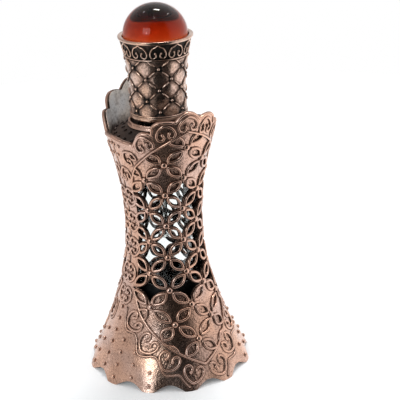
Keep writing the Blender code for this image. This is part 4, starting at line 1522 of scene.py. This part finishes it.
@dataclass(frozen=True)
class Thread:
    """Round screw thread of one start, which fades at both ends."""

    bottom: float
    depth: float = 0.45
    pitch: float = 3.0
    turns: float = 1.5
    flank: float = 1.3
    fade: float = 8.0

    def rise(self, angles: np.ndarray, heights: np.ndarray) -> np.ndarray:
        """Say how far the thread stands out.

        Args:
            angles: Angles in radians.
            heights: Heights.

        Returns:
            The rise at each place.
        """
        start = angles / FULL_TURN
        climbed = (heights - self.bottom) / self.pitch - start
        count = np.round(climbed)
        off = (climbed - count) * self.pitch / self.depth / self.flank
        ends = np.minimum(count + start, self.turns - count - start) * self.fade
        return self.depth * np.sqrt(np.clip(1 - off ** 2, 0.0, 1.0)) * np.clip(ends, 0.0, 1.0)

    def sunk(self, angles: np.ndarray, heights: np.ndarray) -> np.ndarray:
        """Return the same thread turned inwards, as on the wall of a bore."""
        return -self.rise(angles, heights)


@dataclass
class Vial:
    """Clear glass vial with a threaded neck, and the moulded foot that it stands in."""

    radius: float = 11.4
    base: float = 32.0
    shoulder: float = 90.2
    shoulder_rise: float = 4.0
    wall: float = 1.1
    floor: float = 1.6
    corner: float = 1.0
    neck_radius: float = 6.6
    bore: float = 4.6
    neck_top: float = 110.9
    # Where the neck's thread may start and end, below the neck's top.
    neck_span: Flat = (1.5, 9.0)
    thread: Thread = Thread(103.8)
    thread_step: float = 0.12
    cup_radius: float = 12.6
    cup_inner: float = 11.7
    cup_floor: float = 30.5
    cup_rim: float = 35.5
    cup_wall: float = 1.5
    fillet: float = 4.0
    foot_hollow: float = 11.1
    flange_radius: float = 26.75
    flange_bottom: float = 3.4
    flange_top: float = 5.0
    steps: int = 120

    def glass(self) -> Mesh:
        """Make the vial, whose floor faces take the second finish.

        Returns:
            The mesh.
        """
        inner, top, corner = self.radius - self.wall, self.floor + self.base, self.corner
        neck, high = self.neck_radius, self.neck_top
        upper, lower = (high - drop for drop in self.neck_span)
        outline = [(0.0, top)] + arc((inner - corner, top + corner), (corner, corner), -90, 0, 6)
        outline += arc((self.bore, self.shoulder),
                       (inner - self.bore, self.shoulder_rise - self.wall), 0, 90, 16)
        outline += soften([(self.bore, high - 3.0), (self.bore, high), (neck, high), (neck, upper)], 0.4, 5)
        start = len(outline) - 1
        outline += refine([(neck, upper), (neck, lower)], self.thread_step)[1:]
        threaded = slice(start, len(outline) - 1)
        outline += arc((neck, self.shoulder), (self.radius - neck, self.shoulder_rise), 90, 0, 18)
        outline += arc((self.radius - corner, self.base + corner), (corner, corner), 0, -90, 6)
        glass = turned(outline + [(0.0, self.base)], self.steps, self.thread.rise, threaded)
        for face in glass.polygons:
            face.material_index = int(face.center.z < (top + 0.4) * MM)
        return glass

    def foot(self) -> Mesh:
        """Make the cup under the vial with its flange.

        Returns:
            The mesh.
        """
        ceiling = self.cup_floor - self.cup_wall
        cup = soften([(0.0, self.cup_floor), (self.cup_inner, self.cup_floor),
                      (self.cup_inner, self.cup_rim), (self.cup_radius, self.cup_rim)], 0.3, 3)
        cup += arc((self.cup_radius + self.fillet, self.flange_top + self.fillet),
                   (self.fillet, self.fillet), 180, 270, 8)
        cup += soften([(self.flange_radius - 1.0, self.flange_top), (self.flange_radius, self.flange_top),
                       (self.flange_radius, self.flange_bottom), (self.foot_hollow, self.flange_bottom),
                       (self.foot_hollow, ceiling), (0.0, ceiling)], 0.3, 3)
        return turned(cup, self.steps)

    def build(self, shop: Workshop) -> None:
        """Make the vial and its foot.

        Args:
            shop: Finishes.
        """
        add_piece("clear_vial", self.glass(), Body.HOUSING, Slot.CLEAR, ("glass_vial",),
                  [shop[Coat.CLEAR], shop[Coat.MOULDED]])
        add_piece("moulded_foot", self.foot(), Body.HOUSING, Slot.BLACK, ("vial_foot",), [shop[Coat.BLACK]])


# ---- the cap ----


@dataclass
class QuiltedCap:
    """Screw cap with puffed diamonds, a band of hearts, an inner thread, a stick and a stone."""

    bottom: float = 98.9
    rim_top: float = 100.4
    band: float = 121.8
    lip_low: float = 127.7
    lip: float = 128.8
    lip_radius: float = 13.55
    rim_radius: float = 10.7
    bore: float = 9.1
    web_low: float = 113.8
    web_top: float = 115.2
    cup: float = 10.4
    ledge: float = 126.0
    stone_bore: float = 12.0
    skin: float = 0.12
    puff: float = 0.42
    puff_shape: float = 0.34
    # Height over which the diamonds fade at the rim and at the band.
    puff_fade: Flat = (0.6, 0.8)
    # Relief and grain of the plain edges and of the band.
    edge_look: Flat = (0.85, 0.05)
    band_look: Flat = (0.04, 0.2)
    quilt_grain: float = 0.4
    # Lowest relief of a diamond and how much it gains, then the gain and drop of its rubbing.
    quilt_relief: Flat = (0.02, 0.82)
    quilt_rubbing: Flat = (2.0, 0.75)
    columns: int = 14
    rows: int = 6
    first_angle: float = -25.9
    node_height: float = 102.5
    half_row: float = 4.02
    # Half sizes along, across and up.
    node_stud: tuple[float, float, float] = (0.6, 0.6, 0.6)
    edge_stud: tuple[float, float, float] = (1.75, 0.42, 0.6)
    curl_stud: tuple[float, float, float] = (0.42, 0.42, 0.42)
    heart_count: int = 11
    # Width, height and sharpness of a heart, then the angle and height of the first.
    heart: tuple[float, float, float] = (5.7, 4.9, 0.12)
    first_heart: Flat = (-25.5, 124.95)
    # Half width, height and number of the section's sides.
    heart_cord: tuple[float, float, int] = (0.27, 0.28, 8)
    line_cord: tuple[float, float, int] = (0.26, 0.34, 8)
    stone_radius: float = 11.7
    stone_top: float = 140.0
    stone_bottom: float = 127.6
    seat_top: float = 127.62
    seat_bottom: float = 126.4
    seat_radius: float = 11.5
    insert_outer: float = 8.8
    insert_inner: float = 7.7
    insert_low: float = 99.4
    insert_ceiling: float = 112.2
    insert_top: float = 113.5
    thread: Thread = Thread(102.3)
    thread_step: float = 0.12
    socket_inner: float = 1.75
    socket_outer: float = 2.95
    socket_low: float = 105.7
    socket_roof: float = 112.7
    stick_radius: float = 1.45
    stick_top: float = 112.4
    tip_radius: float = 2.0
    tip_low: float = 50.0
    surface: Surface = Surface(
        ((98.9, 10.62), (101.0, 10.42), (105.0, 10.2), (109.0, 10.15), (114.0, 10.42), (118.0, 10.95),
         (121.8, 11.5), (124.5, 12.05), (127.7, 12.85), (129.5, 13.4)))

    def quilt(self, angles: np.ndarray, heights: np.ndarray) -> np.ndarray:
        """Say how far the diamonds puff out.

        Args:
            angles: Angles in radians.
            heights: Heights.

        Returns:
            The share of their full height at each place.
        """
        u = (angles / DEGREE - self.first_angle) / (360.0 / self.columns)
        v = (heights - self.node_height) / self.half_row
        puff = np.abs(np.sin(math.pi * (u + v) / 2) * np.sin(math.pi * (u - v) / 2)) ** self.puff_shape
        low, high = self.puff_fade
        fade = np.clip((heights - self.rim_top) / low, 0, 1) * np.clip((self.band - heights) / high, 0, 1)
        return puff * fade

    def swell(self, angles: np.ndarray, heights: np.ndarray) -> np.ndarray:
        """Return how far the cap's side stands out from its skin."""
        return self.puff * self.quilt(angles, heights) - self.skin

    def body(self) -> Mesh:
        """Make the cast body with its quilted side.

        Returns:
            The mesh.
        """
        heights = np.arange(self.lip_low, self.rim_top, -0.2)
        side = [*zip((self.surface.plain_radius(heights) - self.skin).tolist(), heights.tolist())]
        cup, middle = min(self.cup, self.bore), (self.lip + self.lip_low) / 2
        head = soften([(0.0, self.web_top), (cup, self.web_top), (cup, self.band), (self.cup, self.ledge),
                       (self.stone_bore, self.ledge), (self.stone_bore, self.lip),
                       (self.lip_radius, self.lip), (self.lip_radius + 0.05, middle),
                       (self.lip_radius - 0.1, self.lip_low), side[0]], 0.5, 5)
        foot = soften([side[-1], (self.rim_radius, self.rim_top),
                       (self.rim_radius + 0.1, self.rim_top - 0.75), (self.rim_radius, self.bottom),
                       (self.bore, self.bottom), (self.bore, self.web_low), (0.0, self.web_low)], 0.45, 5)
        start = len(head) - 2
        mesh = turned(head[:-1] + side + foot[1:], 360, self.swell, slice(start, start + len(side)))
        x, y, z = (vertex_places(mesh) / MM).T
        outer = (np.hypot(x, y) > self.surface.plain_radius(z) - 0.6) & (z < self.lip_low)
        banded = outer & (z > self.band)
        quilted = outer & (z > self.rim_top) & ~banded
        puff = self.quilt(np.arctan2(x, -y), z)
        (edge, edge_grain), (band, band_grain) = self.edge_look, self.band_look
        (base, reach), (gain, drop) = self.quilt_relief, self.quilt_rubbing
        rubbing = base + reach * np.clip(puff * gain - drop, 0.0, 1.0)
        mark(mesh, "relief", np.where(banded, band, np.where(quilted, rubbing, edge)))
        mark(mesh, "grain", np.where(banded, band_grain, np.where(quilted, self.quilt_grain, edge_grain)))
        return mesh

    def lay_hearts(self, hearts: Ornament, studs: Ornament) -> None:
        """Lay the band of hearts with a stud in each curl.

        Args:
            hearts: Takes the hearts.
            studs: Takes the studs.
        """
        first, height = self.first_heart
        for index in range(self.heart_count):
            angle = first + index * 360.0 / self.heart_count
            line = self.surface.spread((angle, height), 0.0, heart_line(*self.heart))
            hearts.cord(line)
            for end in (0, -1):
                studs.stud(line[end], self.curl_stud)

    def lay_quilting(self, studs: Ornament) -> None:
        """Lay a bead at each crossing of the quilting and a bar along each side of a diamond.

        Args:
            studs: Takes both.
        """
        pitch = 360.0 / self.columns
        nodes = [(column, row) for column in range(self.columns) for row in range(self.rows)
                 if (column + row) % 2 == 0]
        for column, row in nodes:
            angle, height = self.first_angle + column * pitch, self.node_height + row * self.half_row
            if self.rim_top < height < self.band - 1.0:
                studs.stud((angle, height), self.node_stud)
            for side, climb in ((1, 1), (1, -1), (-1, 1), (-1, -1)):
                middle = (angle + side * pitch / 2, height + climb * self.half_row / 2)
                if climb < 0 and row or not self.rim_top + 0.5 < middle[1] < self.band - 0.9:
                    continue
                run = self.surface.plain_radius(middle[1]) * pitch * DEGREE
                turn = math.degrees(math.atan2(climb * self.half_row, side * run))
                studs.stud(middle, self.edge_stud, turn)

    def insert(self) -> Mesh:
        """Make the moulded insert with its inner thread and its socket.

        Returns:
            The mesh.
        """
        inner, outer = self.insert_inner, self.insert_outer
        low, ceiling = self.insert_low, self.insert_ceiling
        bore = refine([(inner, low + 0.4), (inner, ceiling)], self.thread_step)
        outline = soften([(0.0, self.insert_top), (outer, self.insert_top), (outer, low), (inner, low),
                          bore[0]], 0.25, 4)
        start = len(outline) - 1
        outline += bore[1:]
        threaded = slice(start, len(outline) - 1)
        outline += soften([(inner - 0.3, ceiling), (self.socket_outer, ceiling),
                           (self.socket_outer, self.socket_low), (self.socket_inner, self.socket_low),
                           (self.socket_inner, self.socket_roof), (0.0, self.socket_roof)], 0.25, 4)
        return turned(outline, 96, self.thread.sunk, threaded)

    def stick(self) -> Mesh:
        """Make the glass stick with its ball tip.

        Returns:
            The mesh.
        """
        radius, top, tip = self.stick_radius, self.stick_top, self.tip_radius
        return turned([(0.0, top)] + soften([(radius - 0.3, top), (radius, top), (radius, 108.0)], 0.2, 3)
                      + arc((0.0, self.tip_low + tip), (tip, tip), 43.5, -86, 18)
                      + [(0.0, self.tip_low)], 48)

    def stone(self) -> Mesh:
        """Make the domed stone.

        Returns:
            The mesh.
        """
        radius, low = self.stone_radius, self.stone_bottom
        return turned([(0.0, self.stone_top)]
                      + arc((0.0, self.lip), (radius, self.stone_top - self.lip), 88, 0, 44)
                      + soften([(radius, low + 0.6), (radius, low), (radius - 0.6, low)], 0.35, 5)
                      + [(radius - 0.8, low), (0.0, low)], 160)

    def seat(self) -> Mesh:
        """Make the seat that the stone is cemented to.

        Returns:
            The mesh.
        """
        return turned(soften([(0.0, self.seat_top), (self.seat_radius, self.seat_top),
                              (self.seat_radius, self.seat_bottom), (0.0, self.seat_bottom)], 0.15, 3), 120)

    def build(self, shop: Workshop) -> None:
        """Make the cap with all it carries and ride it on the cap's body.

        Args:
            shop: Finishes and trees.
        """
        hearts, lines, studs = (Ornament(self.surface) for _ in range(3))
        self.lay_hearts(hearts, studs)
        for height in (self.band, self.rim_top + 0.35):
            angles = np.arange(0.0, 360.0, 3.0)
            lines.cord(np.stack([angles, np.full(len(angles), height)], -1), True)
        self.lay_quilting(studs)
        add_piece("quilted_cap", self.body(), Body.CAP, Slot.COPPER, ("cap_shell",), [shop[Coat.CAP]])
        for name, mesh in (("cap_hearts", hearts.cord_mesh("cap_hearts", shop, Coat.CAP, self.heart_cord)),
                           ("cap_lines", lines.cord_mesh("cap_lines", shop, Coat.CAP, self.line_cord)),
                           ("cap_studs", studs.stud_mesh("cap_studs", shop, Coat.CAP, (12, 7)))):
            add_piece(name, mesh, Body.CAP, Slot.COPPER)
        for name, mesh, slot, node, coat in (
                ("threaded_insert", self.insert(), Slot.WHITE, "cap_insert", Coat.WHITE),
                ("glass_stick", self.stick(), Slot.CLEAR, "dipping_stick", Coat.CLEAR),
                ("domed_stone", self.stone(), Slot.AMBER, "amber_stone", Coat.AMBER),
                ("cemented_seat", self.seat(), Slot.BLACK, "stone_seat", Coat.SEAT)):
            add_piece(name, mesh, Body.CAP, slot, (node,), [shop[coat]])


def dress_kept_nodes(shop: Workshop) -> None:
    """Give the frame's own solids that stay in view their finishes.

    Args:
        shop: Finishes.
    """
    for name, coat in (("vial_pad", Coat.FELT), ("base_felt", Coat.FELT), ("sealing_washer", Coat.FOAM)):
        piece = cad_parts[name]
        piece.data.materials.clear()
        piece.data.materials.append(shop[coat])
        LOG.info("%s: kept, with the finish %s", name, coat.value)


# ---- studio ----


@dataclass(frozen=True)
class Lamp:
    """Soft lamp that faces the bottle, with its direction in degrees and its sizes in metres."""

    name: str
    azimuth: float
    elevation: float
    distance: float
    size: Flat
    power: float
    tint: Colour = WHITE

    def build(self) -> None:
        """Put the lamp in the scene."""
        data = bpy.data.lights.new(self.name, "AREA")
        data.shape = "RECTANGLE"
        data.size, data.size_y = self.size
        data.energy, data.color = self.power, self.tint
        lamp = bpy.data.objects.new(self.name, data)
        bpy.context.scene.collection.objects.link(lamp)
        turn, lift = self.azimuth * DEGREE, self.elevation * DEGREE
        away = Vector((math.sin(turn) * math.cos(lift), -math.cos(turn) * math.cos(lift), math.sin(lift)))
        lamp.location = Vector((0.0, 0.0, 0.07)) + away * self.distance
        lamp.rotation_euler = away.to_track_quat("Z", "Y").to_euler()


@dataclass
class Studio:
    """Pale floor, soft lamps and the camera of the photograph."""

    focus: float = 1167.82
    frame_size: float = 400.0
    sensor: float = 36.0
    centre: Flat = (188.37, 202.65)
    azimuth: float = -28.5
    distance: float = 0.40948
    height: float = 0.22587
    yaw: float = 1.33
    pitch: float = 21.63
    roll: float = -2.19
    floor_radius: float = 0.42
    floor_tint: Colour = (0.93, 0.94, 0.95)
    dark_tint: Colour = (0.03, 0.03, 0.03)
    dark_side: float = -16.0
    dark_half: float = 40.0
    dark_blur: float = 8.0
    dark_from: float = 0.045
    # Upward part of a direction where the dark side fades out, and how bright it is.
    dark_top: Flat = (0.74, 0.92)
    dark_level: float = 0.015
    # Direction of the brighter side, where it starts and ends, and the two levels.
    bright_pull: Flat = (0.98, -0.17)
    bright_span: Flat = (-0.1, 0.8)
    bright_levels: Flat = (0.66, 1.02)
    # Glow of the floor, and what it gains in gloss on the right.
    glow: float = 0.135
    gleam: float = 0.24
    gleam_span: Flat = (0.2, 0.9)
    cool: Colour = (0.86, 1.0, 1.06)

    def camera(self) -> None:
        """Place the camera."""
        data = bpy.data.cameras.new("camera")
        data.sensor_width = self.sensor
        data.lens = self.focus / self.frame_size * self.sensor
        data.shift_x = (self.frame_size / 2 - self.centre[0]) / self.frame_size
        data.shift_y = (self.centre[1] - self.frame_size / 2) / self.frame_size
        data.clip_start, data.clip_end = 0.02, 20.0
        camera = bpy.data.objects.new("camera", data)
        bpy.context.scene.collection.objects.link(camera)
        heading, tip, lean = (self.yaw - self.azimuth) * DEGREE, self.pitch * DEGREE, self.roll * DEGREE
        ahead = Vector((math.sin(heading) * math.cos(tip), math.cos(heading) * math.cos(tip),
                        -math.sin(tip)))
        right = Vector((math.cos(heading), -math.sin(heading), 0.0))
        up = right.cross(ahead)
        turn = Matrix((right * math.cos(lean) + up * math.sin(lean),
                       up * math.cos(lean) - right * math.sin(lean), -ahead)).transposed()
        place = Vector((self.distance * math.sin(self.azimuth * DEGREE),
                        -self.distance * math.cos(self.azimuth * DEGREE), self.height))
        camera.matrix_world = Matrix.Translation(place) @ turn.to_4x4()
        bpy.context.scene.camera = camera

    def lamps(self) -> list[Lamp]:
        """Return the lamps, of which the two on the left are cooler."""
        return [Lamp("top lamp", 139.0, 67.0, 1.0, (0.2, 0.12), 3.4),
                Lamp("back lamp", -164.0, 59.0, 1.0, (0.14, 0.06), 0.3),
                Lamp("right lamp", 89.0, 56.0, 0.9, (0.14, 0.06), 0.35),
                Lamp("left lamp", -61.0, 26.0, 0.9, (0.42, 0.36), 1.75, self.cool),
                Lamp("glint lamp", -61.0, 21.0, 0.85, (0.06, 0.06), 0.16, self.cool),
                Lamp("front lamp", -28.0, 77.0, 1.0, (0.08, 0.08), 0.15)]

    def dark_share(self, graph: Graph, x: Socket, y: Socket, reach: Socket) -> Socket:
        """Return 1 towards the dark side of the room and 0 elsewhere.

        Args:
            graph: Graph of the floor or the world.
            x: Place or direction towards the right.
            y: Place or direction towards the back.
            reach: Length of the two together.

        Returns:
            The share.
        """
        turn = self.dark_side * DEGREE
        run = graph.line(x, math.sin(turn), graph.times(y, -math.cos(turn)))
        toward = graph.math("DIVIDE", run, graph.math("MAXIMUM", reach, 0.001))
        far, near = (math.cos((self.dark_half + blur) * DEGREE)
                     for blur in (self.dark_blur, -self.dark_blur))
        return graph.smooth(toward, far, near)

    def floor(self) -> None:
        """Make the pale floor, which shows white to the camera and keeps the shadow."""
        count = 96
        mesh = bpy.data.meshes.new("floor")
        rim = [(x, y, 0.0) for x, y in arc((0.0, 0.0), (self.floor_radius,) * 2, 0.0, 360.0, count)[:-1]]
        mesh.from_pydata(rim, [], [tuple(range(count))])
        graph, shader, material = new_material("pale floor")
        rays, place = graph.node("ShaderNodeLightPath").outputs, graph.place()
        parts, reach = graph.parts(place), graph.reach(place)
        dark = graph.times(self.dark_share(graph, parts["X"], parts["Y"], reach),
                           graph.smooth(reach, self.dark_from, self.dark_from + 0.03))
        dark = graph.times(dark, rays["Is Glossy Ray"])
        seen = graph.math("MAXIMUM", rays["Is Camera Ray"],
                          graph.math("MAXIMUM", rays["Is Glossy Ray"], rays["Is Transmission Ray"]))
        toward = graph.math("DIVIDE", parts["X"], graph.math("MAXIMUM", reach, 0.001))
        extra = graph.times(graph.smooth(toward, *self.gleam_span), rays["Is Glossy Ray"])
        glow = graph.node("ShaderNodeEmission", None, {
            "Color": WHITE,
            "Strength": graph.times(graph.times(seen, graph.rest(dark)),
                                    graph.line(extra, self.gleam, self.glow))})
        graph.feed(shader, {"Base Color": graph.tint(dark, self.floor_tint, self.dark_tint),
                            "Roughness": 0.7, "Specular IOR Level": 0.2})
        both = graph.node("ShaderNodeAddShader", None, {0: shader.outputs[0], 1: glow.outputs[0]})
        graph.feed(graph.tree.nodes["Material Output"], {"Surface": both.outputs[0]})
        mesh.materials.append(material)
        floor = bpy.data.objects.new("floor", mesh)
        bpy.context.scene.collection.objects.link(floor)

    def world(self) -> None:
        """Make the white room, which is dark behind the camera and brighter on the right."""
        world = bpy.data.worlds.new("white room")
        bpy.context.scene.world = world
        world.use_nodes = True
        graph = Graph(world.node_tree)
        parts = graph.parts(graph.node("ShaderNodeTexCoord").outputs["Generated"])
        x, y, z = parts["X"], parts["Y"], parts["Z"]
        flat = graph.math("SQRT", graph.rest(graph.times(z, z)))
        dark = graph.times(self.dark_share(graph, x, y, flat),
                           graph.rest(graph.smooth(z, *self.dark_top)))
        pull = graph.line(x, self.bright_pull[0], graph.times(y, self.bright_pull[1]))
        bright = graph.mix(graph.smooth(pull, *self.bright_span), *self.bright_levels)
        surround = graph.mix(dark, bright, self.dark_level)
        rays = graph.node("ShaderNodeLightPath").outputs
        seen = graph.math("MAXIMUM", rays["Is Camera Ray"], rays["Is Transmission Ray"])
        graph.feed(world.node_tree.nodes["Background"],
                   {"Color": WHITE, "Strength": graph.mix(seen, surround, 1.0)})

    def build(self) -> None:
        """Set the whole stage."""
        bpy.context.scene.view_settings.view_transform = "Standard"
        self.camera()
        self.floor()
        self.world()
        for lamp in self.lamps():
            lamp.build()


def main() -> None:
    """Build the bottle and its stage in order."""
    logging.basicConfig(level=logging.INFO, format="%(message)s")
    shop = Workshop()
    for part in (OpenworkCase(), Shoulder(), Vial(), QuiltedCap()):
        part.build(shop)
    dress_kept_nodes(shop)
    Studio().build()


if __name__ == "__main__":
    main()
